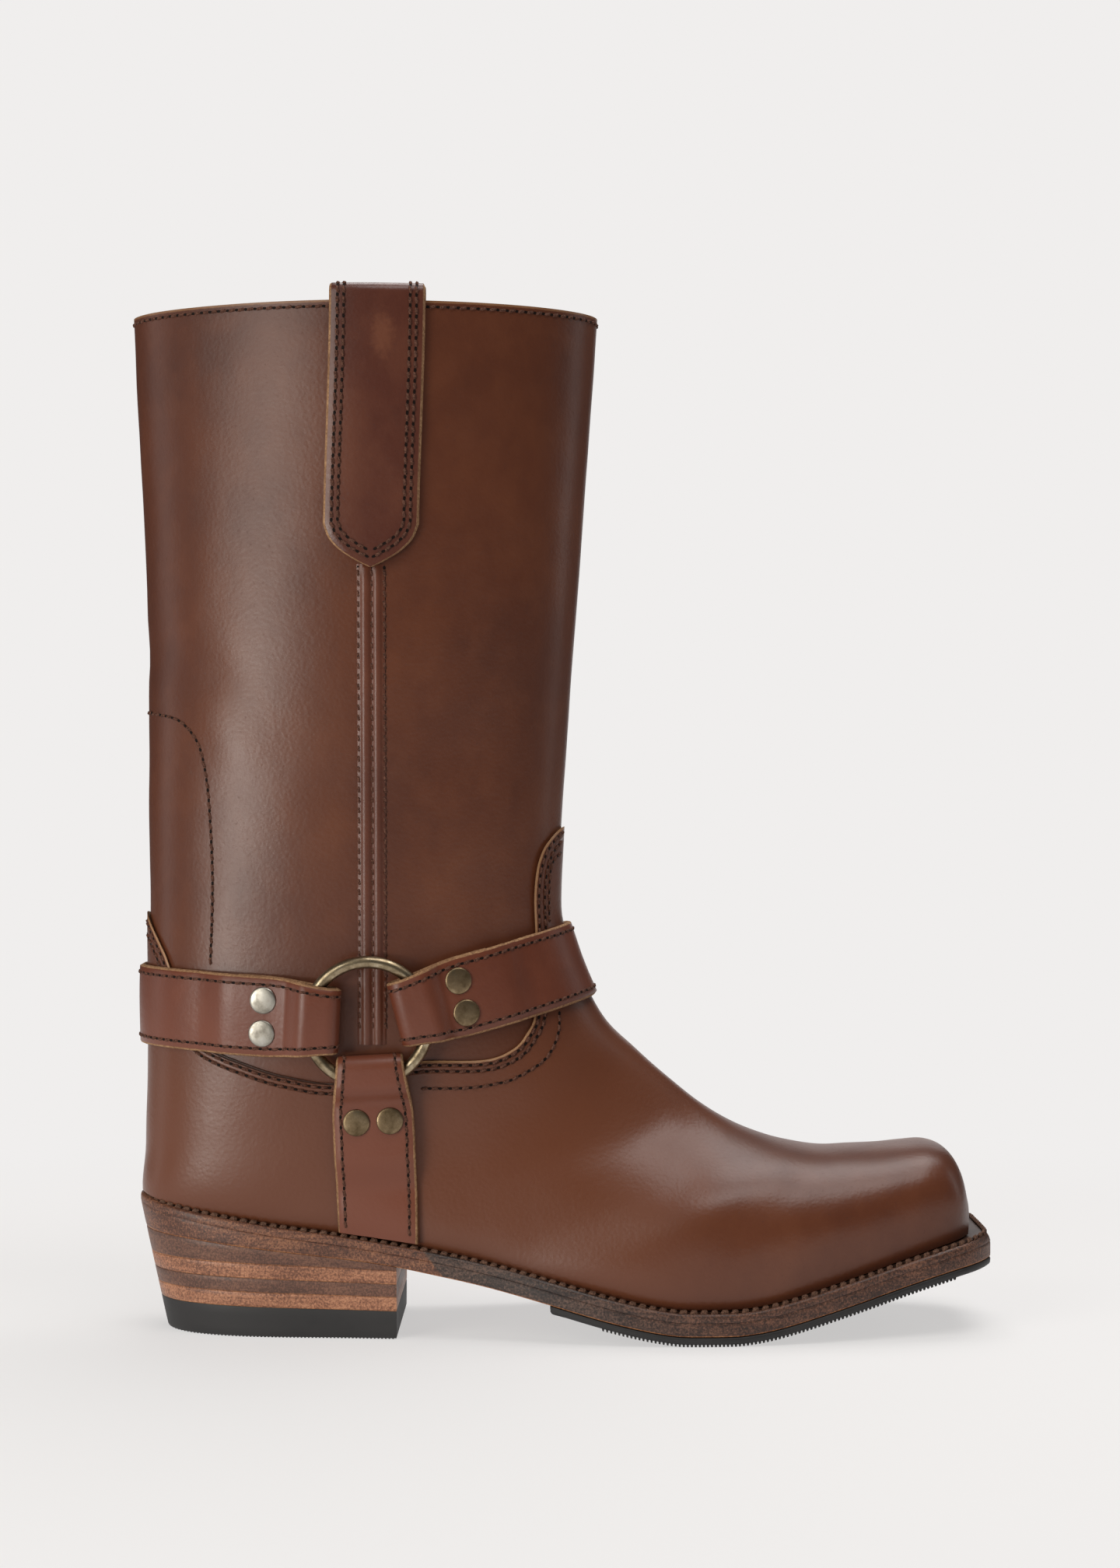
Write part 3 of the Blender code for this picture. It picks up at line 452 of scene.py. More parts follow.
def ring_faces(rings, count, closed_ends=True, loop=False):
    faces = []
    for i in range(rings if loop else rings - 1):
        for j in range(count):
            k = (j + 1) % count
            low = i * count
            high = ((i + 1) % rings) * count
            faces.append((low + j, low + k, high + k, high + j))
    if closed_ends and not loop:
        faces.append(tuple(range(count)))
        faces.append(tuple(range((rings - 1) * count, rings * count)))
    return faces


def combine(target, other, operation):
    """Apply a Boolean to the target; its cut faces take the other object's material."""
    cut = target.modifiers.new("cut", "BOOLEAN")
    cut.operation = operation
    cut.solver = "EXACT"
    cut.material_mode = "TRANSFER"
    cut.object = other
    graph = bpy.context.evaluated_depsgraph_get()
    result = bpy.data.meshes.new_from_object(target.evaluated_get(graph))
    target.modifiers.clear()
    target.data = result
    bpy.data.objects.remove(other)


def prism(outline, finish, half_depth=110.0):
    near = [(p[0], -half_depth, p[1]) for p in outline]
    far = [(p[0], half_depth, p[1]) for p in outline]
    return new_object("block", near + far, ring_faces(2, len(outline)), finish)


# The upper's form
def section_ring(section, around):
    ring = []
    for k in range(around):
        angle = 2 * math.pi * k / around
        angle -= END_CROWDING * math.sin(2 * angle)
        along, across = math.cos(angle), math.sin(angle)
        power = section.front_power if along >= 0 else section.back_power
        reach = 1 - section.widest if along >= 0 else section.widest
        t = section.widest + math.copysign(reach * abs(along) ** (2 / power), along)
        width = section.outer if across < 0 else section.inner
        y = section.middle + math.copysign(width * abs(across) ** (2 / power), across)
        x = section.back_x + (section.front_x - section.back_x) * t
        z = section.back_z + (section.front_z - section.back_z) * t
        ring.append(Vector((x, y, z)))
    return ring


def sections(steps):
    rows, last = [], len(FORM) - 1
    for i in range(last):
        four = FORM[max(i - 1, 0)], FORM[i], FORM[i + 1], FORM[min(i + 2, last)]
        for step in range(steps):
            t = step / steps
            rows.append(Section(*(catmull(*column, t) for column in zip(*four))))
    rows.append(FORM[last])
    return rows


def form(name, grow, finish, around=AROUND, steps=FORM_STEPS, worn=True):
    """The boot's whole form as a closed body, grown outward, with its creases if it is worn."""
    rings = [section_ring(row, around) for row in sections(steps)]
    points = [point for ring in rings for point in ring]
    item = new_object(name, points, ring_faces(len(rings), around), finish)
    moved = []
    for vertex, point in zip(item.data.vertices, points):
        height = grow + relief(point) if worn else grow
        moved.append(vertex.co + vertex.normal * height * MM)
    for vertex, place in zip(item.data.vertices, moved):
        vertex.co = place
    item.data.update()
    return item


def trough(point, ends, width, depth):
    """A soft valley along a line in the side view, fading at its ends."""
    start, end = Vector(ends[0]), Vector(ends[1])
    flat = Vector((point.x, point.z))
    along = end - start
    t = (flat - start).dot(along) / along.length_squared
    away = (flat - start - along * t).length
    if t < -0.3 or t > 1.3 or away > 3 * width:
        return 0.0
    fade = smooth(-0.25, 0.2, t) * smooth(1.25, 0.8, t)
    return -depth * fade * math.exp(-(away / width) ** 2)


def relief(point):
    """How far the leather stands in or out of the plain form: soft wear creases."""
    height = 0.0
    for ends, width, depth, sides in CREASES:
        if sides == 0 or point.y * sides > 0:
            height += trough(point, ends, width, depth)
    wave = noise.noise(Vector((point.x, point.y * 1.3, point.z)) * 0.022)
    fine = noise.noise(Vector((point.x, point.y, point.z)) * 0.06 + Vector((7.0, 3.0, 1.0)))
    return height + WAVE * wave + WAVE_FINE * fine


class Skin:
    """A form's surface, for pieces that lie on it, in millimetres."""

    def __init__(self, grow=0.0, around=AROUND, steps=FORM_STEPS, worn=True):
        item = form("skin", grow, None, around, steps, worn)
        points = [vertex.co / MM - SHIFT for vertex in item.data.vertices]
        faces = [tuple(polygon.vertices) for polygon in item.data.polygons]
        self.tree = BVHTree.FromPolygons(points, faces)
        bpy.data.objects.remove(item)

    def cast(self, origin, direction):
        place, normal, _, _ = self.tree.ray_cast(Vector(origin), Vector(direction))
        return place, normal

    def nearest(self, point):
        place, normal, _, _ = self.tree.find_nearest(point)
        return place, normal

    def side(self, x, z, side):
        return self.cast((x, 0.0, z), (0.0, side, 0.0))


def below_feather(finish):
    """A block of everything below the line where the upper meets the welt."""
    line = [(x, feather_z(x)) for x in range(-174, 175, 3)]
    return prism([*line, (174.0, -80.0), (-174.0, -80.0)], finish)


def make_upper(looks):
    """The shaft and foot as a hollow leather wall."""
    upper = form("boot_upper", 0.0, looks["leather"])
    combine(upper, form("hollow", -WALL, looks["lining"]), "DIFFERENCE")
    combine(upper, below_feather(looks["raw"]), "DIFFERENCE")
    top = [(-220.0, COLLAR_Z), (80.0, COLLAR_Z), (80.0, 420.0), (-220.0, 420.0)]
    combine(upper, prism(top, looks["raw"]), "DIFFERENCE")
    shade(upper)
    return settle(upper, "oiled_leather", "upper")


def overlay_outline():
    edge = smooth_line(OVERLAY_EDGE, 6)
    return [(-220.0, 151.0), *edge, (220.0, 181.5), (220.0, -60.0), (-220.0, -60.0)]


def mark_edge(item, line):
    """Store each point's distance in the side view from a line, in millimetres."""
    tree = KDTree(len(line))
    for i, point in enumerate(line):
        tree.insert((point[0], 0.0, point[1]), i)
    tree.balance()
    values = []
    for vertex in item.data.vertices:
        place = vertex.co / MM - SHIFT
        values.append(tree.find((place.x, 0.0, place.z))[2])
    layer = item.data.attributes.new("edge", "FLOAT", "POINT")
    layer.data.foreach_set("value", values)


def darken_counter_edge(overlay, look):
    """Make the counter's cut faces below the heel strap dark, with the welt's leather."""
    overlay.data.materials.append(look)
    raw = [material.name for material in overlay.data.materials].index("raw_edge")
    dark = len(overlay.data.materials) - 1
    for polygon in overlay.data.polygons:
        place = polygon.center / MM - SHIFT
        covered = place.x < EDGE_DARK_BELOW_STRAP_X and EDGE_DARK_BELOW_STRAP_Z[0] < place.z < EDGE_DARK_BELOW_STRAP_Z[1]
        if covered and polygon.material_index == raw:
            polygon.material_index = dark


def make_overlay(looks):
    """The vamp with its tongue and the counter, laid over the shaft with a raw edge."""
    overlay = form("boot_vamp_counter", OVERLAY, looks["vamp"])
    combine(overlay, form("under", 0.03, looks["lining"]), "DIFFERENCE")
    combine(overlay, prism(overlay_outline(), looks["raw"]), "INTERSECT")
    combine(overlay, below_feather(looks["raw"]), "DIFFERENCE")
    darken_counter_edge(overlay, looks["welt"])
    shade(overlay)
    mark_edge(overlay, smooth_line(OVERLAY_EDGE, 40))
    return settle(overlay, "oiled_leather", "upper")


# Straps and rings
class Line:
    """A line over the skin, read by its length from the start."""

    def __init__(self, places, normals):
        self.places, self.normals, self.lengths = places, normals, [0.0]
        for a, b in zip(places, places[1:]):
            self.lengths.append(self.lengths[-1] + (b - a).length)
        self.length = self.lengths[-1]

    def at(self, length):
        last = len(self.lengths) - 2
        index = max((i for i in range(last + 1) if self.lengths[i] <= length), default=0)
        t = (length - self.lengths[index]) / (self.lengths[index + 1] - self.lengths[index])
        a, b = self.places[index], self.places[index + 1]
        normal = self.normals[index].lerp(self.normals[index + 1], min(max(t, 0.0), 1.0)).normalized()
        return a + (b - a) * t, (b - a).normalized(), normal


def line_round(skin, slope, start, end):
    places, normals = [], []
    for k in range(LINE_STEPS + 1):
        angle = math.radians(start + (end - start) * k / LINE_STEPS)
        direction = (math.cos(angle), math.sin(angle), math.cos(angle) * slope)
        place, normal = skin.cast((RING_X, 0.0, RING_Z), direction)
        places.append(place)
        normals.append(normal)
    return Line(places, normals)


def line_down(skin, side):
    places, normals = [], []
    low = feather_z(STIRRUP_LOW_X)
    for k in range(LINE_DOWN_STEPS + 1):
        t = k / LINE_DOWN_STEPS
        x = RING_X + (STIRRUP_LOW_X - RING_X) * t
        z = RING_Z + (low - RING_Z) * t
        place, normal = skin.side(x, z, side)
        places.append(place)
        normals.append(normal)
    return Line(places, normals)


class RingFrame:
    """Where a ring lies: its centre and its own outward direction."""

    def __init__(self, skin, side):
        place, _ = skin.side(RING_X, RING_Z, side)
        spots = []
        for dx, dz in ((-RING_INNER, 0), (RING_INNER, 0), (0, -RING_INNER), (0, RING_INNER)):
            spot, _ = skin.side(RING_X + dx, RING_Z + dz, side)
            spots.append(spot)
        tilt = (spots[1] - spots[0]).cross(spots[3] - spots[2]).normalized()
        self.out = tilt if tilt.y * side > 0 else -tilt
        rise = max(0.0, *((spot - place).dot(self.out) for spot in spots))
        self.base = place + self.out * rise
        self.centre = self.base + self.out * RING_LIFT


class Ribbon:
    """A strap on the skin whose ends lie in the planes of the rings that they hold."""

    def __init__(self, skin, line, first, last=None, end_shear=0.0):
        self.skin, self.line, self.first, self.last = skin, line, first, last
        self.end_shear = end_shear

    def half_width(self, s):
        reach = s if self.last is None else min(s, self.line.length - s)
        wide = smooth(FOLD_START, FOLD_START + WIDEN_LENGTH, reach)
        return STRAP_FOLD_HALF + (STRAP_HALF - STRAP_FOLD_HALF) * wide

    def flat(self, s, h, lift):
        far = self.last is not None and s > self.line.length / 2
        frame_at = self.last if far else self.first
        _, along, _ = self.line.at(self.line.length if far else 0.0)
        reach = s - self.line.length if far else s
        along = (along - frame_at.out * along.dot(frame_at.out)).normalized()
        across = frame_at.out.cross(along)
        return frame_at.base + along * reach + across * h + frame_at.out * lift

    def on_skin(self, s, h, lift):
        place, along, normal = self.line.at(s)
        across = normal.cross(along).normalized()
        spot, out = self.skin.nearest(place + across * h)
        out = out.lerp(normal, 0.5)
        if self.last is None:
            out.z = 0.0
        return spot + out.normalized() * lift

    def point(self, s, h, lift):
        """A place by length, distance across from the middle, and height over the skin."""
        if self.last is None:
            s = s + h * self.end_shear * smooth(SHEAR_START, self.line.length, s)
            reach = s
        else:
            reach = min(s, self.line.length - s)
        follow = smooth(*FOLLOW_SKIN, reach)
        if follow == 0.0:
            return self.flat(s, h, lift)
        if follow == 1.0:
            return self.on_skin(s, h, lift)
        return self.flat(s, h, lift).lerp(self.on_skin(s, h, lift), follow)


def fold_path(start=FOLD_START):
    """A strap end's middle line as (length, height) pairs: its tail, its fold and its outer layer."""
    centre = start + FOLD_RADIUS + STRAP_THICK / 2
    tail_end = FOLD_START + TAIL_LENGTH
    past_ring = RING_INNER + RING_WIRE
    high = RING_LIFT + FOLD_RADIUS
    double = STRAP_LIFT + STRAP_THICK + GAP
    path = [(tail_end - (tail_end - centre) * k / TAIL_STEPS, STRAP_LIFT) for k in range(TAIL_STEPS + 1)]
    for k in range(1, FOLD_ARC_STEPS):
        angle = math.radians(270 - 180 * k / FOLD_ARC_STEPS)
        reach, rise = FOLD_RADIUS * math.cos(angle), FOLD_RADIUS * math.sin(angle)
        path.append((centre + reach, RING_LIFT + rise))
    outer = []
    blended = tail_end + TAIL_BLEND
    count = int((blended - centre) / OUTER_STEP)
    for k in range(count + 1):
        s = centre + (blended - centre) * k / count
        drop = soft_step(past_ring + OUTER_DROP[0], past_ring + OUTER_DROP[1], s)
        lift = high + (double - high) * drop
        lift += (STRAP_LIFT - double) * soft_step(tail_end + TAIL_STEP_OFF, blended, s)
        outer.append((s, lift))
    return path + outer


def thicken(path, thick):
    """The outward direction of a path in its own plane, times half its thickness."""
    outs = []
    for i in range(len(path)):
        before = Vector(path[max(i - 1, 0)])
        after = Vector(path[min(i + 1, len(path) - 1)])
        along = (after - before).normalized()
        outs.append(Vector((-along.y, along.x)) * thick / 2)
    return outs


def ribbon_solid(name, ribbon, path, looks, slot, *nodes):
    """A strap with softly rounded raw edges and a faint crown between its stitch rows."""
    section, raw = edge_section(RIBBON_ACROSS)
    points = []
    for (s, lift), out in zip(path, thicken(path, STRAP_THICK)):
        half = ribbon.half_width(s)
        for share, inset, level in section:
            ragged = EDGE_RAGGED * noise.noise(Vector((s * 0.35, share * 9.0, 4.0)))
            h = share * (half - inset) + math.copysign(ragged, share)
            crown = STRAP_CROWN * (1 - share * share) if level > 0 else 0.0
            points.append(ribbon.point(s + out.x * level, h, lift + out.y * level + crown))
    count = len(section)
    indices = [1 if j in raw else 0 for _ in range(len(path) - 1) for j in range(count)] + [1, 1]
    finishes = [looks["strap"], looks["raw"]]
    item = new_object(name, points, ring_faces(len(path), count), finishes, indices, angle=60)
    return settle(item, slot, *nodes)


def edge_section(across):
    """A flat strap's cross section as (share, inset, level), and which of its strips are cut edge."""
    section = []
    for face in (1, -1):
        section += [(face * k / across, EDGE_CUT, float(face)) for k in range(-across, across + 1)]
        section += [(face, EDGE_CUT * 0.3, face * 0.72), (face, 0.0, face * 0.25)]
    half = len(section) // 2
    raw = set()
    for first in (2 * across, 2 * across + half):
        raw |= {(first + k) % len(section) for k in range(3)}
    return section, raw


def outer_row(ribbon, path, inset, side):
    """Places and normals of a stitch row along a strap's outer face, from its fold."""
    outs = thicken(path, STRAP_THICK)
    start = TAIL_STEPS + FOLD_ARC_STEPS // 2
    end = len(path) - start if ribbon.last is not None else len(path) - 1
    places = []
    for i in range(start, end):
        (s, lift), out = path[i], outs[i]
        h = side * (ribbon.half_width(s) - inset)
        places.append(ribbon.point(s + out.x, h, lift + out.y))
    return places


def rivet_pair(ribbon, s, names, brass):
    top = STRAP_LIFT + STRAP_THICK * 1.5 + GAP
    for name, h in zip(names, (-RIVET_SPREAD, RIVET_SPREAD)):
        seat = ribbon.point(s, h, top + 0.1)
        out = (ribbon.point(s, h, top + 2.0) - ribbon.point(s, h, top)).normalized()
        rivet(name, seat, out, brass)


def rivet(node, seat, out, brass):
    """A domed cap with a turned-down rim."""
    turn = out.to_track_quat("Z", "Y")
    points, count = [], RIVET_SIDES
    profile = [(RIVET_RADIUS * share, height) for share, height in RIVET_PROFILE]
    for radius, height in profile:
        for k in range(count):
            angle = 2 * math.pi * k / count
            spot = Vector((radius * math.cos(angle), radius * math.sin(angle), height))
            points.append(seat + turn @ spot)
    points.append(seat + out * (profile[-1][1] + 0.05))
    faces = [tuple(reversed(range(count)))] + ring_faces(len(profile), count, closed_ends=False)
    low = (len(profile) - 1) * count
    faces += [(low + k, low + (k + 1) % count, len(points) - 1) for k in range(count)]
    item = new_object("look_" + node, points, faces, brass, angle=50)
    settle(item, "antique_brass", node)


def make_ring(name, ring_frame, node, body, brass):
    turn = ring_frame.out.to_track_quat("Z", "Y")
    middle = RING_INNER + RING_WIRE / 2
    points = []
    for i in range(RING_SEGMENTS):
        angle = 2 * math.pi * i / RING_SEGMENTS
        for j in range(RING_SIDES):
            around = 2 * math.pi * j / RING_SIDES
            reach = middle + RING_WIRE / 2 * math.cos(around)
            height = RING_WIRE / 2 * math.sin(around)
            spot = Vector((reach * math.cos(angle), reach * math.sin(angle), height))
            points.append(ring_frame.centre + turn @ spot)
    item = new_object(name, points, ring_faces(RING_SEGMENTS, RING_SIDES, loop=True), brass)
    settle(item, "antique_brass", node, body=body)


def make_round_strap(name, skin, frames, slope, start, rivet_at, looks, rows):
    """A strap from the outer ring round the boot to the inner one."""
    line = line_round(skin, slope, start, INNER_RING_DEGREES)
    ribbon = Ribbon(skin, line, frames[OUTER_SIDE], frames[INNER_SIDE])
    first = fold_path()
    begin, finish = first[-1][0], line.length - first[-1][0]
    count = int((finish - begin) / STRAP_STEP)
    middle = [(begin + (finish - begin) * k / count, STRAP_LIFT) for k in range(1, count)]
    last = [(line.length - s, lift) for s, lift in reversed(first)]
    path = first + middle + last
    ribbon_solid("look_" + name, ribbon, path, looks, "strap_leather", name)
    for side in (-1, 1):
        rows.append(outer_row(ribbon, path, STRAP_STITCH_INSET, side))
    for side, s in ((OUTER_SIDE, rivet_at), (INNER_SIDE, line.length - rivet_at)):
        names = [f"rivet_{name}_{SIDE_NAMES[side]}_{number}" for number in (1, 2)]
        rivet_pair(ribbon, s, names, looks["steel" if name == "strap_heel" else "bronze"])


def make_stirrup(skin, ring_frame, side, looks, rows):
    line = line_down(skin, side)
    back, front = STIRRUP_LOW_X - STRAP_HALF, STIRRUP_LOW_X + STRAP_HALF
    shear = (feather_z(back) - feather_z(front)) / (2 * STRAP_HALF)
    ribbon = Ribbon(skin, line, ring_frame, end_shear=-side * shear)
    path = fold_path(STIRRUP_FOLD_START)
    begin, end = path[-1][0], line.length - STIRRUP_SEAT
    path += [(begin + (end - begin) * k / 8, STRAP_LIFT + STIRRUP_SPARE * k / 8) for k in range(1, 9)]
    name = f"stirrup_{SIDE_NAMES[side]}"
    ribbon_solid("look_" + name, ribbon, path, looks, "strap_leather", name)
    for edge in (-1, 1):
        rows.append(outer_row(ribbon, path, STRAP_STITCH_INSET, edge))
    names = [f"rivet_{name}_{number}" for number in (1, 2)]
    rivet_pair(ribbon, STIRRUP_RIVET, names, looks["bronze"])


# Pull straps and side seams
def pull_path():
    """The pull strap's middle line as (height, distance out of the skin) pairs."""
    centre_depth = -WALL / 2
    radius = WALL / 2 + PULL_GAP + PULL_THICK / 2
    turn_z = PULL_TOP_Z - radius - PULL_THICK / 2
    low, high = PULL_TIP[0][0], PULL_TIP[-1][0]
    outside = [low + (high - low) * (k / 12) ** 1.6 for k in range(13)]
    outside += [high + (PULL_STRAIGHT_Z - high) * k / 22 for k in range(1, 23)]
    path = [(z, centre_depth + radius) for z in outside]
    for degrees in range(0, 181, 12):
        angle = math.radians(degrees)
        path.append((turn_z + radius * math.sin(angle), centre_depth + radius * math.cos(angle)))
    inside = [PULL_TURNED_Z - (PULL_TURNED_Z - PULL_INSIDE_Z) * k / 5 for k in range(6)]
    path += [(z, centre_depth - radius) for z in inside]
    return path, len(outside)


def pull_middle(z):
    """The pull strap's middle along x at a height: it leans a little."""
    return PULL_X_TIP + (PULL_X_TOP - PULL_X_TIP) * smooth(*PULL_SLANT_Z, z)


def make_pull(skin, side, looks, rows):
    """A flat strap from its pointed tip outside, over the collar and down inside."""
    path, outside = pull_path()
    outs = thicken(path, PULL_THICK)
    section, raw = edge_section(PULL_ACROSS)

    def spot(index, share, level, inset=0.0):
        z, depth = Vector(path[index]) - outs[index] * level
        half = lookup(PULL_TIP, path[index][0]) if index < outside else PULL_HALF
        x = pull_middle(z) + share * max(half - inset, half * 0.3)
        place, _ = skin.side(x, z, side)
        return Vector((x, place.y + side * depth, z))

    points = [spot(i, share, level, inset) for i in range(len(path)) for share, inset, level in section]
    count = len(section)
    indices = [1 if j in raw else 0 for _ in range(len(path) - 1) for j in range(count)] + [1, 1]
    name = f"pull_{SIDE_NAMES[side]}"
    finishes = [looks["pull"], looks["raw"]]
    item = new_object("look_" + name, points, ring_faces(len(path), count), finishes, indices)
    settle(item, "pull_leather", name)
    tip = [(-lookup(PULL_TIP, path[i][0]), path[i][0]) for i in range(outside)]
    for inset in PULL_STITCH_INSETS:
        moved = offset_line([Vector(p) for p in tip], inset)
        kept = [p for p in moved if p.x < -0.4 and p.y > PULL_TIP[0][0]]
        for edge in (-1, 1):
            row = []
            for across, z in kept:
                x = pull_middle(z) - edge * across
                place, _ = skin.side(x, z, side)
                row.append(Vector((x, place.y + side * (path[0][1] + PULL_THICK / 2), z)))
            row += [spot(i, edge, -1.0, inset) for i in range(outside, len(path) - 8)]
            rows.append(row)


def make_seam(skin, side, looks):
    """Raised piping that covers the join at the side of the shaft."""
    name = f"seam_{SIDE_NAMES[side]}"
    points = []
    for k in range(SEAM_STEPS + 1):
        z = SEAM_BOTTOM_Z + (SEAM_LOOK_TOP_Z - SEAM_BOTTOM_Z) * k / SEAM_STEPS
        fade = smooth(SEAM_LOOK_TOP_Z, SEAM_LOOK_TOP_Z - SEAM_FADE, z)
        for across, height in SEAM_LOOK:
            place, normal = skin.side(SEAM_X + across, z, side)
            points.append(place + normal * height * (SEAM_FADED + (1 - SEAM_FADED) * fade))
    faces = ring_faces(SEAM_STEPS + 1, len(SEAM_LOOK))
    item = new_object("look_" + name, points, faces, looks["piping"], angle=80)
    settle(item, "oiled_leather", name)


# The sole
def feather_outline(skin):
    """Where the form meets the sole, as matching points on the outer and inner side."""
    heel_centre, toe_centre = -112.0, 108.0
    seeds = [(heel_centre, float(degrees)) for degrees in range(176, 94, -4)]
    seeds += [(float(x), 90.0) for x in range(-112, 109, 4)]
    seeds += [(toe_centre, degrees / 2) for degrees in range(172, 3, -7)]
    lines = {}
    for side in (OUTER_SIDE, INNER_SIDE):
        lines[side] = []
        for x, degrees in seeds:
            angle = math.radians(degrees)
            direction = Vector((math.cos(angle), side * math.sin(angle), 0.0))
            middle = 5.0 if degrees < 90 else 0.0
            place = Vector((x, 0.0, 0.0))
            for _ in range(4):
                place, _ = skin.cast((x, middle, feather_z(place.x) + 0.5), direction)
            lines[side].append(Vector((place.x, place.y)))
    return lines


def moved_out(lines, distance):
    """The outline moved outward by a distance that may change along x."""
    loop = lines[OUTER_SIDE] + lines[INNER_SIDE][::-1]
    count = len(loop)
    moved = []
    for i, point in enumerate(loop):
        along = (loop[(i + 1) % count] - loop[i - 1]).normalized()
        out = Vector((along.y, -along.x))
        moved.append(point + out * (distance(point.x) if callable(distance) else distance))
    half = len(lines[OUTER_SIDE])
    return {OUTER_SIDE: moved[:half], INNER_SIDE: moved[half:][::-1]}


def grown(lines, distance):
    """The outline moved out past the laid-on leather."""
    return moved_out(lines, lambda x: OVERLAY + (distance(x) if callable(distance) else distance))


def margin(x):
    return lookup(WELT_MARGIN, x)


def between(lines, start, end):
    """The part of the outline between two places along x, with square ends."""
    kept = {}
    for side in (OUTER_SIDE, INNER_SIDE):
        row = lines[side]
        kept[side] = []
        for a, b in zip(row, row[1:] + row[-1:]):
            if start < a.x < end:
                kept[side].append(a)
            for limit in (start, end):
                if a.x < limit <= b.x:
                    kept[side].append(a + (b - a) * ((limit - a.x) / (b.x - a.x)))
    count = min(len(kept[OUTER_SIDE]), len(kept[INNER_SIDE]))
    for side in (OUTER_SIDE, INNER_SIDE):
        while len(kept[side]) > count:
            kept[side].pop(len(kept[side]) // 2)
    return kept


def slab(name, rings, looks, strips, slot, *nodes):
    """A closed layer from outline rings, each (outline, height by x), from its top to its low face."""
    points, rows = [], len(rings[0][0][OUTER_SIDE])
    for lines, level in rings:
        for place in lines[OUTER_SIDE] + lines[INNER_SIDE][::-1]:
            points.append((place.x, place.y, level(place.x)))
    loop = 2 * rows
    faces = ring_faces(len(rings), loop, closed_ends=False)
    indices = [strips.get(i, 0) for i in range(len(rings) - 1) for _ in range(loop)]
    for base in (0, (len(rings) - 1) * loop):
        for i in range(rows - 1):
            faces.append((base + i, base + i + 1, base + loop - 2 - i, base + loop - 1 - i))
            indices.append(0)
    item = new_object(name, points, faces, looks, indices, angle=55)
    return settle(item, slot, *nodes)


def edge_rings(outline, top, low, profile):
    """Outline rings down a plate's edge from (inset, share of the height) pairs."""
    rings = []
    for inset, share in profile:
        rings.append((outline(-inset), lambda x, share=share: top(x) + (low(x) - top(x)) * share))
    return rings


def tucked(lines, share):
    """The outline drawn in at the back, so the sole runs into the heel without a step."""
    return {
        side: [Vector((p.x + HEEL_SET_IN * share * smooth(*BACK_TUCK_X, p.x), p.y)) for p in row]
        for side, row in lines.items()
    }


def make_welt(lines, looks):
    def outline(inset, toe_inset):
        return grown(lines, lambda x: margin(x) - inset - (toe_inset - inset) * smooth(*TOE_MARGIN_X, x))

    outer = [(outline(inset, toe_inset), drop) for inset, toe_inset, drop in WELT_PROFILE]
    inner = [(grown(lines, -WELT_INSET), drop) for drop in (WELT_LOW, SEAT_GAP)]
    points, loops = [], []
    for edge, drop in outer + inner:
        loops.append([(p.x, p.y, feather_z(p.x) - drop) for p in edge[OUTER_SIDE] + edge[INNER_SIDE][::-1]])
    count = len(loops[0])
    for k in range(count):
        points += [row[k] for row in loops]
    edge = range(1, len(WELT_PROFILE) - 1)
    indices = [1 if j in edge else 0 for _ in range(count) for j in range(len(loops))]
    faces = ring_faces(count, len(loops), loop=True)
    item = new_object("look_welt", points, faces, [looks["welt"], looks["edge"]], indices, angle=50)
    settle(item, "welt_leather", "welt")


def heel_outline(lines, drop, inset=0.0):
    """The heel's outline at a distance below the outsole, drawn in towards the floor."""
    moved = {}
    for side in (OUTER_SIDE, INNER_SIDE):
        moved[side] = []
        for point in lines[side]:
            back = smooth(HEEL_ROUND_X, HEEL_JOINT_BACK_X, point.x)
            x = point.x + (drop * HEEL_TAPER_BACK + HEEL_SET_IN + inset) * smooth(*BACK_TUCK_X, point.x)
            x -= inset * smooth(HEEL_BREAST_X - 0.5, HEEL_BREAST_X, point.x)
            y = point.y - side * (drop * HEEL_TAPER_SIDE * (1 - back * HEEL_ROUND_TAPER) + inset)
            moved[side].append(Vector((x, y)))
    return moved


def heel_line(line, x):
    back, breast = line
    return back + (breast - back) * (x - HEEL_JOINT_BACK_X) / (HEEL_BREAST_X - HEEL_JOINT_BACK_X)


def make_heel(lines, looks):
    base = between(grown(lines, margin), -200.0, HEEL_BREAST_X)
    tops = [lambda x: outsole_z(x) - LAYER_GAP]
    lows = []
    for line in HEEL_LINES:
        lows.append(lambda x, line=line: heel_line(line, x) + LAYER_GAP)
        tops.append(lambda x, line=line: heel_line(line, x) - LAYER_GAP)
    lows.append(lambda x: HEEL_RIB_DEPTH)
    seat = outsole_z(HEEL_JOINT_BACK_X)
    for i, (top, low) in enumerate(zip(tops, lows)):
        lift = i < len(HEEL_LINES)
        node = f"heel_lift_{i + 1}" if lift else "heel_top"
        high_drop, low_drop = seat - top(HEEL_JOINT_BACK_X), seat - low(HEEL_JOINT_BACK_X)
        rings = []
        for inset, share in HEEL_PROFILE:
            drop = high_drop + (low_drop - high_drop) * share
            level = lambda x, share=share, top=top, low=low: top(x) + (low(x) - top(x)) * share
            rings.append((heel_outline(base, drop, inset), level))
        slot = ("sole_edge", "heel_lift")[i % 2] if lift else "black_rubber"
        look = (looks["dark_lift"], looks["lift"])[i % 2] if lift else looks["rubber"]
        strips = {len(HEEL_PROFILE) - 3: 1} if lift else {}
        slab("look_" + node, rings, [look, looks["line"]], strips, slot, node)
    tread = heel_outline(base, seat - HEEL_RIB_DEPTH, RIB_INSET)
    ends = tread[OUTER_SIDE][0].x + RIB_INSET, HEEL_BREAST_X
    levels = lambda x: HEEL_RIB_DEPTH, lambda x: 0.0
    make_ribs("heel_ribs", tread, ends, levels, HEEL_RIB_PITCH, looks["rubber"])


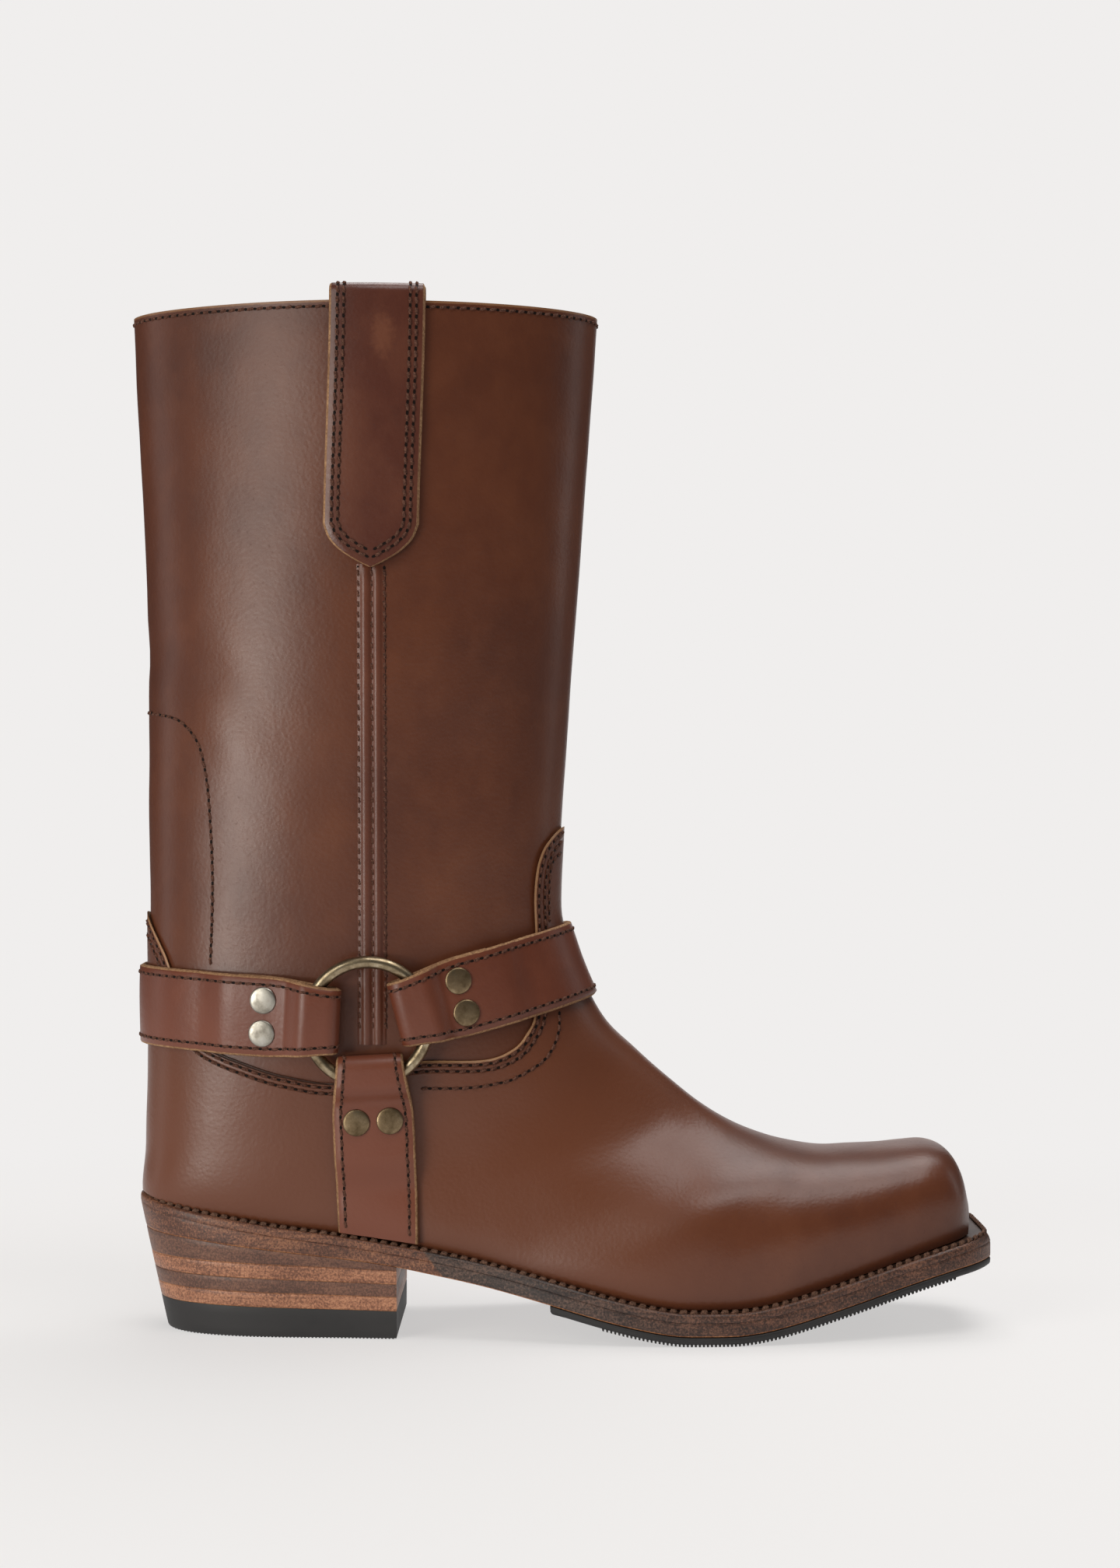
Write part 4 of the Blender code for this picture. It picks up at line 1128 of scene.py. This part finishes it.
def side_at(row, x):
    """Where an outline's side lies across at a place along x, going from the back."""
    for a, b in zip(row, row[1:]):
        if a.x <= x <= b.x and b.x > a.x:
            return a.y + (b.y - a.y) * (x - a.x) / (b.x - a.x)
    return None


def make_ribs(name, lines, ends, levels, pitch, look):
    """Rows of small ribs across the tread, between two places along x and two levels."""
    points, faces = [], []
    (x, end), (top, low) = ends, levels
    while x + pitch < end:
        places = x, x + pitch * RIB_SHARE
        edges = [[side_at(lines[side], place) for side in (OUTER_SIDE, INNER_SIDE)] for place in places]
        if any(value is None for pair in edges for value in pair):
            break
        first = len(points)
        for place, pair, fold in zip(places, edges, (1, -1)):
            for height, lean in ((top(place) + RIB_ROOT, 0.0), (low(place), fold * pitch * RIB_LEAN)):
                points += [(place + lean, across, height) for across in pair]
        for face in ((0, 1, 3, 2), (4, 6, 7, 5), (2, 3, 7, 6), (0, 4, 5, 1), (0, 2, 6, 4), (1, 5, 7, 3)):
            faces.append(tuple(first + index for index in face))
        x += pitch
    return settle(new_object(name, points, faces, look, angle=30), "black_rubber")


def make_sole(skin, looks):
    lines = feather_outline(skin)
    make_welt(lines, looks)
    edge = lambda move: grown(lines, lambda x: margin(x) + move)
    top = lambda x: feather_z(x) - WELT_LOW - LAYER_GAP
    finishes = [looks["waist"], looks["edge"], looks["line"]]
    strips = {i: 1 for i in range(len(SOLE_PROFILE) - 3)}
    strips[len(SOLE_PROFILE) - 3] = 2
    rings = edge_rings(edge, top, outsole_z, SOLE_PROFILE)
    rings = [(tucked(ring, share), level) for (ring, level), (_, share) in zip(rings, SOLE_PROFILE)]
    slab("look_outsole", rings, finishes, strips, "sole_edge", "outsole")
    front = between(edge(0.0), RUBBER_START_X, 200.0)
    half = lambda move: moved_out(front, move)
    top = lambda x: outsole_z(x) - GAP
    low = lambda x: max(outsole_z(x) - GAP - RUBBER_THICK, 0.0)
    core = lambda x: low(x) + RIB_DEPTH
    rings = edge_rings(half, top, core, RUBBER_PROFILE)
    slab("look_sole_rubber", rings, looks["rubber"], {}, "black_rubber", "sole_rubber")
    ends = RIB_START_X, RIB_END_X
    make_ribs("sole_ribs", half(-RIB_INSET), ends, (core, low), RIB_PITCH, looks["rubber"])
    make_heel(lines, looks)
    return lines


# Stitches
def add_stitch(points, faces, start, end, out, size=1.0):
    """One stitch of thread that dips into the leather at both ends."""
    along = (end - start).normalized()
    across = out.cross(along).normalized()
    up = along.cross(across)
    first = len(points)
    for share, height, fat in STITCH_STATIONS:
        middle = start.lerp(end, share) + up * height * size
        for k in range(STITCH_SIDES):
            angle = 2 * math.pi * k / STITCH_SIDES
            out_of_middle = across * math.cos(angle) + up * math.sin(angle)
            points.append(middle + out_of_middle * STITCH_RADIUS * fat * size)
    for face in ring_faces(len(STITCH_STATIONS), STITCH_SIDES):
        faces.append(tuple(first + index for index in face))


def add_hole_shade(points, faces, place, along, normal, size):
    """A dark disc of painted shade, for the stitch hole between two stitches."""
    across = normal.cross(along).normalized()
    first = len(points)
    for k in range(HOLE_SHADE_SIDES):
        angle = 2 * math.pi * k / HOLE_SHADE_SIDES
        reach = along * HOLE_SHADE_LONG * math.cos(angle) + across * HOLE_SHADE_WIDE * math.sin(angle)
        points.append(place + reach * size + normal * HOLE_SHADE_LIFT)
    faces.append(tuple(range(first, len(points))))


def sew(name, rows, skin, looks, slot, pitch=STITCH_LENGTH + STITCH_GAP, out=None, size=1.0):
    """Stitches along rows of places that already lie on the leather."""
    points, faces, indices = [], [], []
    for row in rows:
        line = Line(row, [Vector((0, 0, 1))] * len(row))
        count = int(line.length / pitch)
        for k in range(count):
            middle = (k + 0.5) * line.length / count
            place, along, _ = line.at(middle)
            normal = out or skin.nearest(place)[1]
            side = normal.cross(along).normalized()
            turn = STITCH_TURN + CHANCE.uniform(-STITCH_SWAY, STITCH_SWAY)
            half = (along + side * turn) * STITCH_LENGTH * CHANCE.uniform(*STITCH_SPREAD)
            add_stitch(points, faces, place - half, place + half, normal, size)
            indices += [0] * (len(faces) - len(indices))
            # Between two stitches, a dark disc paints the shade in the stitch hole
            place, along, _ = line.at(k * line.length / count)
            add_hole_shade(points, faces, place, along, out or skin.nearest(place)[1], size)
            indices.append(1)
    item = new_object(name, points, faces, looks, indices, angle=70)
    return settle(item, slot)


def side_rows(skin, lines, lift=0.0):
    """Rows drawn in the side view, laid on the skin on both sides."""
    rows = []
    for line in lines:
        for side in (OUTER_SIDE, INNER_SIDE):
            row = []
            for x, z in line:
                place, normal = skin.side(x, z, side)
                if place is not None and abs(place.y) > 1.5:
                    row.append(place + normal * lift)
            rows.append(row)
    return rows


def back_row(skin, z, half_width):
    """A row straight across the shaft's back."""
    row = []
    for k in range(9):
        place, _ = skin.cast((SHAFT_BACK_X, half_width * (k / 4 - 1), z), (-1.0, 0.0, 0.0))
        row.append(place)
    return row


def collar_row(skin):
    row = []
    for degrees in range(0, 361, 2):
        angle = math.radians(degrees)
        direction = (math.cos(angle), math.sin(angle), 0.0)
        place, _ = skin.cast((SHAFT_CENTRE_X, 0.0, COLLAR_STITCH_Z), direction)
        row.append(place)
    return row


def welt_row(lines):
    path = grown(lines, lambda x: margin(x) - WELT_STITCH_INSET)
    loop = path[OUTER_SIDE] + path[INNER_SIDE][::-1]
    return [Vector((p.x, p.y, feather_z(p.x) - SEAT_GAP + WELT_STITCH_LIFT)) for p in loop + loop[:1]]


def sew_boot(skin, laid, lines, strap_rows, pull_rows, looks):
    edge = smooth_line(OVERLAY_EDGE, 4)
    overlay_rows = [offset_line(edge, inset) for inset in OVERLAY_STITCH_INSETS]
    overlay_rows += [smooth_line(row, 4) for row in (VAMP_ROW, TONGUE_ROW)]
    brown = [looks["thread"], looks["hole_shade"]]
    sew("stitch_vamp_counter", side_rows(laid, overlay_rows), laid, brown, "oiled_leather")
    shaft = [smooth_line(STAY_ROW, 4)]
    heights = [SEAM_TOP_Z + 2.0 - 2.0 * k for k in range(int((SEAM_TOP_Z - SEAM_BOTTOM_Z) / 2))]
    for x in SEAM_ROWS:
        shaft.append([(x, z) for z in heights])
    rows = side_rows(skin, shaft) + [collar_row(skin)]
    rows.append(back_row(skin, STAY_ROW[0][1], abs(rows[0][0].y)))
    sew("stitch_shaft", rows, skin, brown, "oiled_leather")
    sew("stitch_straps", strap_rows, skin, brown, "strap_leather")
    sew("stitch_pulls", pull_rows, skin, brown, "pull_leather")
    welt = [welt_row(lines)]
    finishes = [looks["welt_thread"], looks["hole_shade"]]
    up = Vector((0.0, 0.0, 1.0))
    sew("stitch_welt", welt, skin, finishes, "welt_leather", WELT_PITCH, up, WELT_STITCH_SIZE)


# Materials
class Finish:
    """A material whose colour, roughness and bump come from noise in the boot's own frame."""

    def __init__(self, name, metallic=0.0):
        self.material = bpy.data.materials.new(name)
        self.material.use_nodes = True
        self.tree = self.material.node_tree
        self.shader = self.tree.nodes["Principled BSDF"]
        self.shader.inputs["Metallic"].default_value = metallic
        self.place = self.add("ShaderNodeTexCoord").outputs["Object"]
        self.normal = None

    def add(self, kind, **values):
        node = self.tree.nodes.new(kind)
        for key, value in values.items():
            setattr(node, key, value)
        return node

    def link(self, source, target):
        self.tree.links.new(source, target)

    def noise(self, size, detail=4.0, rough=0.55, stretch=(1.0, 1.0, 1.0), offset=0.0):
        """Noise with features of a size in millimetres, stretched along the axes."""
        move = self.add("ShaderNodeMapping")
        move.inputs["Scale"].default_value = [1000.0 / size / part for part in stretch]
        move.inputs["Location"].default_value = (offset, offset * 0.7, offset * 0.4)
        self.link(self.place, move.inputs["Vector"])
        node = self.add("ShaderNodeTexNoise")
        node.inputs["Scale"].default_value = 1.0
        node.inputs["Detail"].default_value = detail
        node.inputs["Roughness"].default_value = rough
        self.link(move.outputs["Vector"], node.inputs["Vector"])
        return node.outputs["Fac"]

    def stretched(self, scale):
        node = self.add("ShaderNodeMapping")
        node.inputs["Scale"].default_value = scale
        self.link(self.place, node.inputs["Vector"])
        return node.outputs["Vector"]

    def cells(self, size):
        """Pebble cells of a size in millimetres."""
        node = self.add("ShaderNodeTexVoronoi", feature="SMOOTH_F1")
        node.inputs["Scale"].default_value = 1000.0 / size
        self.link(self.place, node.inputs["Vector"])
        return node.outputs["Distance"]

    def between(self, value, low, high, start=0.0, end=1.0):
        node = self.add("ShaderNodeMapRange", interpolation_type="SMOOTHSTEP")
        node.inputs["From Min"].default_value = low
        node.inputs["From Max"].default_value = high
        node.inputs["To Min"].default_value = start
        node.inputs["To Max"].default_value = end
        self.link(value, node.inputs["Value"])
        return node.outputs["Result"]

    def along(self, axis):
        """The place along an axis of the boot's frame, in metres."""
        node = self.add("ShaderNodeSeparateXYZ")
        self.link(self.place, node.inputs["Vector"])
        return node.outputs[axis]

    def math(self, operation, a, b):
        node = self.add("ShaderNodeMath", operation=operation)
        for value, socket in zip((a, b), node.inputs):
            if isinstance(value, float):
                socket.default_value = value
            else:
                self.link(value, socket)
        return node.outputs["Value"]

    def colours(self, value, *stops):
        """A colour ramp from (position, colour) pairs."""
        node = self.add("ShaderNodeValToRGB")
        ramp = node.color_ramp
        while len(ramp.elements) < len(stops):
            ramp.elements.new(0.5)
        for element, (position, colour) in zip(ramp.elements, stops):
            element.position = position
            element.color = (*colour, 1.0)
        self.link(value, node.inputs["Fac"])
        return node.outputs["Color"]

    def mix(self, share, first, second, blend="MIX"):
        node = self.add("ShaderNodeMix", data_type="RGBA", blend_type=blend)
        sockets = {socket.identifier: socket for socket in node.inputs}
        self.link(share, sockets["Factor_Float"])
        for value, key in ((first, "A_Color"), (second, "B_Color")):
            if isinstance(value, tuple):
                sockets[key].default_value = (*value, 1.0)
            else:
                self.link(value, sockets[key])
        return next(socket for socket in node.outputs if socket.identifier == "Result_Color")

    def tint(self, colour, value, amount, tone):
        """The colour turned towards a tone by an amount where the value is high."""
        return self.mix(self.math("MULTIPLY", value, amount), colour, tone)

    def bump(self, height, depth, strength=1.0):
        """Add relief of a depth in millimetres."""
        node = self.add("ShaderNodeBump")
        node.inputs["Strength"].default_value = strength
        node.inputs["Distance"].default_value = depth * MM
        self.link(height, node.inputs["Height"])
        if self.normal:
            self.link(self.normal, node.inputs["Normal"])
        self.normal = node.outputs["Normal"]

    def done(self, colour, roughness, coat=0.0, coat_roughness=0.3, specular=0.5):
        self.link(colour, self.shader.inputs["Base Color"])
        if isinstance(roughness, float):
            self.shader.inputs["Roughness"].default_value = roughness
        else:
            self.link(roughness, self.shader.inputs["Roughness"])
        self.shader.inputs["Coat Weight"].default_value = coat
        self.shader.inputs["Coat Roughness"].default_value = coat_roughness
        self.shader.inputs["Specular IOR Level"].default_value = specular
        if self.normal:
            self.link(self.normal, self.shader.inputs["Normal"])
        return self.material


def oiled_leather(name, dark, middle, light, gloss=0.37, rim=False, cut=False, rubbed=False):
    """Smooth oiled leather: cloudy pull-up tone, fine pores, hairline marks and a waxy sheen."""
    look = Finish(name)
    cloud = look.noise(55.0, detail=5.0, rough=0.6, stretch=(1.0, 1.0, 1.5))
    colour = look.colours(cloud, (0.28, dark), (0.50, middle), (0.72, light))
    patch = look.between(look.noise(13.0, detail=5.0, offset=3.1), 0.45, 0.75)
    colour = look.tint(colour, patch, 0.35, light)
    scratch = look.between(look.noise(9.0, detail=3.0, stretch=(0.12, 1.0, 3.0), offset=8.0), 0.66, 0.74)
    colour = look.tint(colour, scratch, 0.10, light)
    pores = look.between(look.noise(1.1, detail=2.0, offset=5.0), 0.62, 0.74)
    colour = look.tint(colour, pores, 0.28, dark)
    # Painted light: a lighter tone low on the heel and the waist stands in for light from the pale floor
    low = look.between(look.along("Z"), *PAINTED_FLOOR_LIGHT_Z)
    low = look.math("MULTIPLY", low, look.between(look.along("X"), *PAINTED_FLOOR_LIGHT_X))
    colour = look.mix(low, colour, light)
    if rim:
        wobble = look.math("MULTIPLY", look.noise(3.0), 0.0005)
        top = look.between(look.math("ADD", look.along("Z"), wobble), *COLLAR_RIM)
        colour = look.tint(colour, top, 0.5, RAW_LIGHT)
    if cut:
        edge = look.add("ShaderNodeAttribute", attribute_name="edge").outputs["Fac"]
        ragged = look.math("ADD", edge, look.math("MULTIPLY", look.noise(1.4), -0.5))
        # The cut band is dark below the heel strap and light tan elsewhere
        ahead = look.between(look.along("X"), *EDGE_DARK_BELOW_STRAP_X_FADE)
        above = look.between(look.along("Z"), *EDGE_DARK_BELOW_STRAP_Z_FADE)
        cut_colour = look.mix(look.math("MAXIMUM", ahead, above), EDGE_DARK_BELOW_STRAP, RAW_LIGHT)
        colour = look.mix(look.between(ragged, *CUT_BAND), cut_colour, colour)
        look.bump(look.between(edge, 0.0, 1.2), 0.55, 1.0)
        for inset in OVERLAY_STITCH_INSETS:
            away = look.math("ABSOLUTE", look.math("SUBTRACT", edge, inset), 0.0)
            look.bump(look.between(away, 0.15, 0.85), 0.22, 0.8)
    if rubbed:
        spot = look.add("ShaderNodeVectorMath", operation="DISTANCE")
        look.link(look.stretched(RUBBED_SHAPE), spot.inputs[0])
        spot.inputs[1].default_value = [place * part for place, part in zip(RUBBED_PLACE, RUBBED_SHAPE)]
        ragged = look.math("ADD", spot.outputs["Value"], look.math("MULTIPLY", look.noise(1.6), 0.006))
        colour = look.mix(look.between(ragged, 0.005, 0.0105, 0.45, 0.0), colour, RUBBED_COLOUR)
    rough = look.between(cloud, 0.3, 0.7, gloss + 0.03, gloss - 0.03)
    rough = look.math("ADD", rough, look.math("MULTIPLY", pores, 0.10))
    look.bump(look.noise(28.0, detail=3.0, rough=0.5), 0.5, 0.5)
    look.bump(look.cells(1.3), 0.09, 0.55)
    look.bump(look.noise(0.7, detail=3.0), 0.05, 0.5)
    return look.done(colour, rough, coat=0.05, coat_roughness=0.30, specular=0.40)


def raw_edge():
    """Cut edge of vegetable tanned leather, light tan with fibres."""
    look = Finish("raw_edge")
    fibre = look.noise(0.9, detail=4.0, rough=0.7)
    dark, middle, light = (0.130, 0.062, 0.028), (0.300, 0.160, 0.078), (0.480, 0.290, 0.150)
    colour = look.colours(fibre, (0.30, dark), (0.52, middle), (0.74, light))
    stain = look.between(look.noise(11.0, offset=2.0), 0.45, 0.7)
    colour = look.tint(colour, stain, 0.5, (0.150, 0.066, 0.030))
    look.bump(fibre, 0.25, 0.8)
    return look.done(colour, 0.78, specular=0.3)


def lining():
    look = Finish("lining_leather")
    cloud = look.noise(30.0, detail=5.0)
    colour = look.colours(cloud, (0.3, (0.150, 0.085, 0.045)), (0.7, (0.260, 0.160, 0.090)))
    look.bump(look.noise(0.9, detail=3.0), 0.06, 0.6)
    return look.done(colour, 0.72, specular=0.35)


def sole_edge(name, dark, middle, light, gloss=0.42, seat=None, shank=None):
    """Burnished leather edge: speckled fibres, faint layer lines, and its finish at the heel seat."""
    look = Finish(name)
    fibres = look.noise(0.75, detail=3.0, rough=0.7)
    layers = look.noise(1.1, detail=3.0, rough=0.6, stretch=(26.0, 26.0, 1.0))
    blot = look.noise(7.0, detail=4.0, stretch=(2.5, 2.5, 1.0), offset=4.0)
    value = look.math("ADD", look.math("MULTIPLY", layers, 0.16), look.math("MULTIPLY", blot, 0.26))
    value = look.math("ADD", value, look.math("MULTIPLY", fibres, 0.58))
    colour = look.colours(value, *zip(SOLE_STOPS, (dark, middle, light)))
    if seat:
        front = look.math("ADD", look.along("X"), look.math("MULTIPLY", look.along("Z"), SEAT_FINISH_SLOPE))
        front = look.math("ADD", front, look.math("MULTIPLY", look.noise(4.0), 0.0006))
        cool = look.colours(value, *zip(SOLE_STOPS, shank))
        colour = look.mix(look.between(front, *SHANK_FINISH_END), cool, colour)
        warm = look.colours(value, *zip(SOLE_STOPS, seat))
        colour = look.mix(look.between(front, *SEAT_FINISH_END), warm, colour)
    nick = look.between(look.noise(1.0, detail=2.0, offset=9.0), 0.62, 0.69)
    colour = look.tint(colour, nick, 0.75, dark)
    look.bump(layers, 0.08, 0.4)
    look.bump(fibres, 0.14, 0.6)
    return look.done(colour, look.between(blot, 0.3, 0.7, gloss, gloss + 0.14), coat=0.06, specular=0.4)


def rubber():
    look = Finish("black_rubber")
    cloud = look.noise(16.0, detail=5.0)
    colour = look.colours(cloud, (0.3, (0.007, 0.0062, 0.0062)), (0.7, (0.021, 0.0190, 0.0188)))
    look.bump(look.noise(0.8, detail=3.0), 0.06, 0.5)
    return look.done(colour, look.between(cloud, 0.3, 0.7, 0.52, 0.68))


def metal(name, dark, light, worn, rough=0.32):
    """Antiqued metal: patches of patina and brighter rubbed metal, laid out by noise."""
    look = Finish(name, metallic=1.0)
    patina = look.noise(5.0, detail=6.0, rough=0.65)
    colour = look.colours(patina, (0.34, dark), (0.54, light), (0.74, worn))
    scratch = look.noise(1.5, detail=2.0, stretch=(1.0, 1.0, 6.0), offset=2.0)
    look.bump(patina, 0.02, 0.3)
    look.bump(scratch, 0.03, 0.3)
    return look.done(colour, look.between(patina, 0.3, 0.7, rough + 0.14, rough - 0.06))


def thread(name, dark, light):
    look = Finish(name)
    ply = look.noise(0.5, detail=2.0)
    colour = look.colours(ply, (0.3, dark), (0.7, light))
    look.bump(ply, 0.08, 0.7)
    return look.done(colour, 0.7, specular=0.12)


def make_looks():
    leather = ((0.060, 0.0148, 0.0058), (0.090, 0.0244, 0.0098), (0.126, 0.0385, 0.0162))
    strap = ((0.072, 0.0160, 0.0070), (0.112, 0.0280, 0.0125), (0.158, 0.0450, 0.0220))
    pull = ((0.050, 0.0128, 0.0078), (0.080, 0.0215, 0.0122), (0.125, 0.0415, 0.0230))
    piping = ((0.068, 0.0175, 0.0080), (0.100, 0.0280, 0.0135), (0.140, 0.0440, 0.0225))
    welt = ((0.018, 0.0080, 0.0055), (0.036, 0.0150, 0.0092), (0.070, 0.0320, 0.0180))
    sole = ((0.026, 0.0125, 0.0085), (0.078, 0.0335, 0.0205), (0.170, 0.0740, 0.0430))
    seat = ((0.060, 0.0220, 0.0125), (0.130, 0.0490, 0.0260), (0.260, 0.1100, 0.0550))
    shank = ((0.018, 0.0110, 0.0090), (0.050, 0.0290, 0.0220), (0.125, 0.0720, 0.0520))
    dark_lift = ((0.070, 0.0310, 0.0205), (0.125, 0.0550, 0.0345), (0.195, 0.0900, 0.0540))
    lift = ((0.135, 0.0530, 0.0290), (0.300, 0.1240, 0.0650), (0.460, 0.2150, 0.1160))
    waist = ((0.030, 0.0140, 0.0090), (0.070, 0.0300, 0.0180), (0.120, 0.0560, 0.0320))
    line = ((0.140, 0.0450, 0.0170), (0.300, 0.1150, 0.0420), (0.420, 0.1900, 0.0800))
    steel = ((0.190, 0.170, 0.140), (0.350, 0.325, 0.280), (0.480, 0.455, 0.410))
    bronze = ((0.110, 0.075, 0.040), (0.230, 0.165, 0.095), (0.380, 0.295, 0.185))
    brass = ((0.130, 0.095, 0.055), (0.330, 0.260, 0.165), (0.560, 0.480, 0.350))
    insole = ((0.140, 0.075, 0.038), (0.220, 0.125, 0.068), (0.300, 0.180, 0.100))
    return {
        "leather": oiled_leather("leather_upper", *leather, rim=True),
        "vamp": oiled_leather("leather_vamp", *leather, cut=True),
        "strap": oiled_leather("leather_strap", *strap, gloss=0.38),
        "pull": oiled_leather("leather_pull", *pull, gloss=0.34, rubbed=True),
        "piping": oiled_leather("leather_piping", *piping),
        "welt": oiled_leather("leather_welt", *welt, gloss=0.46),
        "raw": raw_edge(),
        "lining": lining(),
        "edge": sole_edge("sole_edge", *sole, seat=seat, shank=shank),
        "dark_lift": sole_edge("heel_lift_dark", *dark_lift),
        "lift": sole_edge("heel_lift_light", *lift),
        "waist": sole_edge("sole_face", *waist),
        "line": sole_edge("sole_line", *line),
        "rubber": rubber(),
        "steel": metal("rivet_steel", *steel, rough=0.36),
        "bronze": metal("rivet_bronze", *bronze, rough=0.36),
        "brass": metal("ring_brass", *brass, rough=0.30),
        "thread": thread("thread_brown", (0.026, 0.0100, 0.0070), (0.150, 0.066, 0.043)),
        "welt_thread": thread("thread_welt", (0.030, 0.014, 0.010), (0.170, 0.088, 0.056)),
        # Near-black discs painted as the shade in the stitch holes
        "hole_shade": thread("stitch_hole_shade", (0.004, 0.0020, 0.0015), (0.012, 0.006, 0.004)),
        "insole": oiled_leather("insole_leather", *insole, gloss=0.6),
    }


# The studio
def flat_material(name, colour, roughness):
    material = bpy.data.materials.new(name)
    material.use_nodes = True
    shader = material.node_tree.nodes["Principled BSDF"]
    shader.inputs["Base Color"].default_value = (*colour, 1.0)
    shader.inputs["Roughness"].default_value = roughness
    shader.inputs["Specular IOR Level"].default_value = 0.1
    return material


def area_light(name, place, target, size, power, colour):
    data = bpy.data.lights.new(name, "AREA")
    data.shape = "RECTANGLE"
    data.size, data.size_y = size
    data.energy = power
    data.color = colour
    item = bpy.data.objects.new(name, data)
    item.location = place
    item.rotation_euler = (Vector(target) - Vector(place)).to_track_quat("-Z", "Y").to_euler()
    bpy.context.scene.collection.objects.link(item)


def glow(tree, colour):
    node = tree.nodes.new("ShaderNodeEmission")
    node.inputs["Color"].default_value = (*colour, 1.0)
    return node.outputs["Emission"]


def paper_material():
    """Pale paper that takes soft shadows near the boot and runs into the plain backdrop."""
    material = flat_material("floor_paper", FLOOR_COLOUR, 0.9)
    tree = material.node_tree
    shader = tree.nodes["Principled BSDF"]
    shader.inputs["Emission Color"].default_value = (*BACKDROP_COLOUR, 1.0)
    shader.inputs["Emission Strength"].default_value = FLOOR_GLOW
    place = tree.nodes.new("ShaderNodeTexCoord")
    length = tree.nodes.new("ShaderNodeVectorMath")
    length.operation = "LENGTH"
    fade = tree.nodes.new("ShaderNodeMapRange")
    fade.interpolation_type = "SMOOTHSTEP"
    fade.inputs["From Min"].default_value, fade.inputs["From Max"].default_value = FLOOR_FADE
    mix = tree.nodes.new("ShaderNodeMixShader")
    tree.links.new(place.outputs["Object"], length.inputs[0])
    tree.links.new(length.outputs["Value"], fade.inputs["Value"])
    tree.links.new(fade.outputs["Result"], mix.inputs["Fac"])
    tree.links.new(shader.outputs["BSDF"], mix.inputs[1])
    tree.links.new(glow(tree, BACKDROP_COLOUR), mix.inputs[2])
    tree.links.new(mix.outputs["Shader"], tree.nodes["Material Output"].inputs["Surface"])
    return material


def backdrop_material():
    material = bpy.data.materials.new("backdrop")
    material.use_nodes = True
    tree = material.node_tree
    tree.links.new(glow(tree, BACKDROP_COLOUR), tree.nodes["Material Output"].inputs["Surface"])
    return material


def sheet(name, corners, material):
    mesh = bpy.data.meshes.new(name)
    mesh.from_pydata(corners, [], [(0, 1, 2, 3)])
    mesh.materials.append(material)
    item = bpy.data.objects.new(name, mesh)
    bpy.context.scene.collection.objects.link(item)


def make_studio():
    world = bpy.data.worlds.new("studio")
    world.use_nodes = True
    background = world.node_tree.nodes["Background"]
    background.inputs["Color"].default_value = (*WORLD_COLOUR, 1.0)
    background.inputs["Strength"].default_value = WORLD_STRENGTH
    bpy.context.scene.world = world
    bpy.context.scene.view_settings.view_transform = "Standard"
    wide, far, high = BACKDROP_HALF, BACKDROP_FAR, BACKDROP_HIGH
    floor = [(-wide, -FLOOR_NEAR, 0), (wide, -FLOOR_NEAR, 0), (wide, far, 0), (-wide, far, 0)]
    wall = [(-wide, far, 0), (wide, far, 0), (wide, far, high), (-wide, far, high)]
    sheet("floor", floor, paper_material())
    sheet("backdrop", wall, backdrop_material())
    for light in LIGHTS:
        area_light(*light)


def make_camera():
    data = bpy.data.cameras.new("camera")
    data.sensor_width = SENSOR
    data.lens = SENSOR * CAMERA_DISTANCE / PICTURE_HEIGHT
    data.clip_start, data.clip_end = 0.05, 20.0
    item = bpy.data.objects.new("camera", data)
    item.location = (CAMERA_X, -CAMERA_DISTANCE + SHIFT.y * MM, CAMERA_Z)
    item.rotation_euler = (math.radians(90.0), 0.0, 0.0)
    bpy.context.scene.collection.objects.link(item)
    bpy.context.scene.camera = item


def main():
    looks = make_looks()
    skin, laid = Skin(), Skin(OVERLAY)
    make_upper(looks)
    make_overlay(looks)
    lines = make_sole(skin, looks)
    part_skin = Skin(0.0, PART_AROUND, PART_FORM_STEPS, worn=False)
    ring_frames = {side: RingFrame(part_skin, side) for side in (OUTER_SIDE, INNER_SIDE)}
    strap_rows, pull_rows = [], []
    for name, slope, start, rivet_at in ROUND_STRAPS:
        make_round_strap(name, skin, ring_frames, slope, start, rivet_at, looks, strap_rows)
    for side, ring_frame in ring_frames.items():
        word = SIDE_NAMES[side]
        make_stirrup(skin, ring_frame, side, looks, strap_rows)
        make_ring(f"look_ring_{word}", ring_frame, f"ring_{word}", f"ring_{word}_body", looks["brass"])
        make_pull(skin, side, looks, pull_rows)
        make_seam(skin, side, looks)
    sew_boot(skin, laid, lines, strap_rows, pull_rows, looks)
    insole = bpy.data.objects["insole"]
    insole.data.materials.clear()
    insole.data.materials.append(looks["insole"])
    make_studio()
    make_camera()


main()
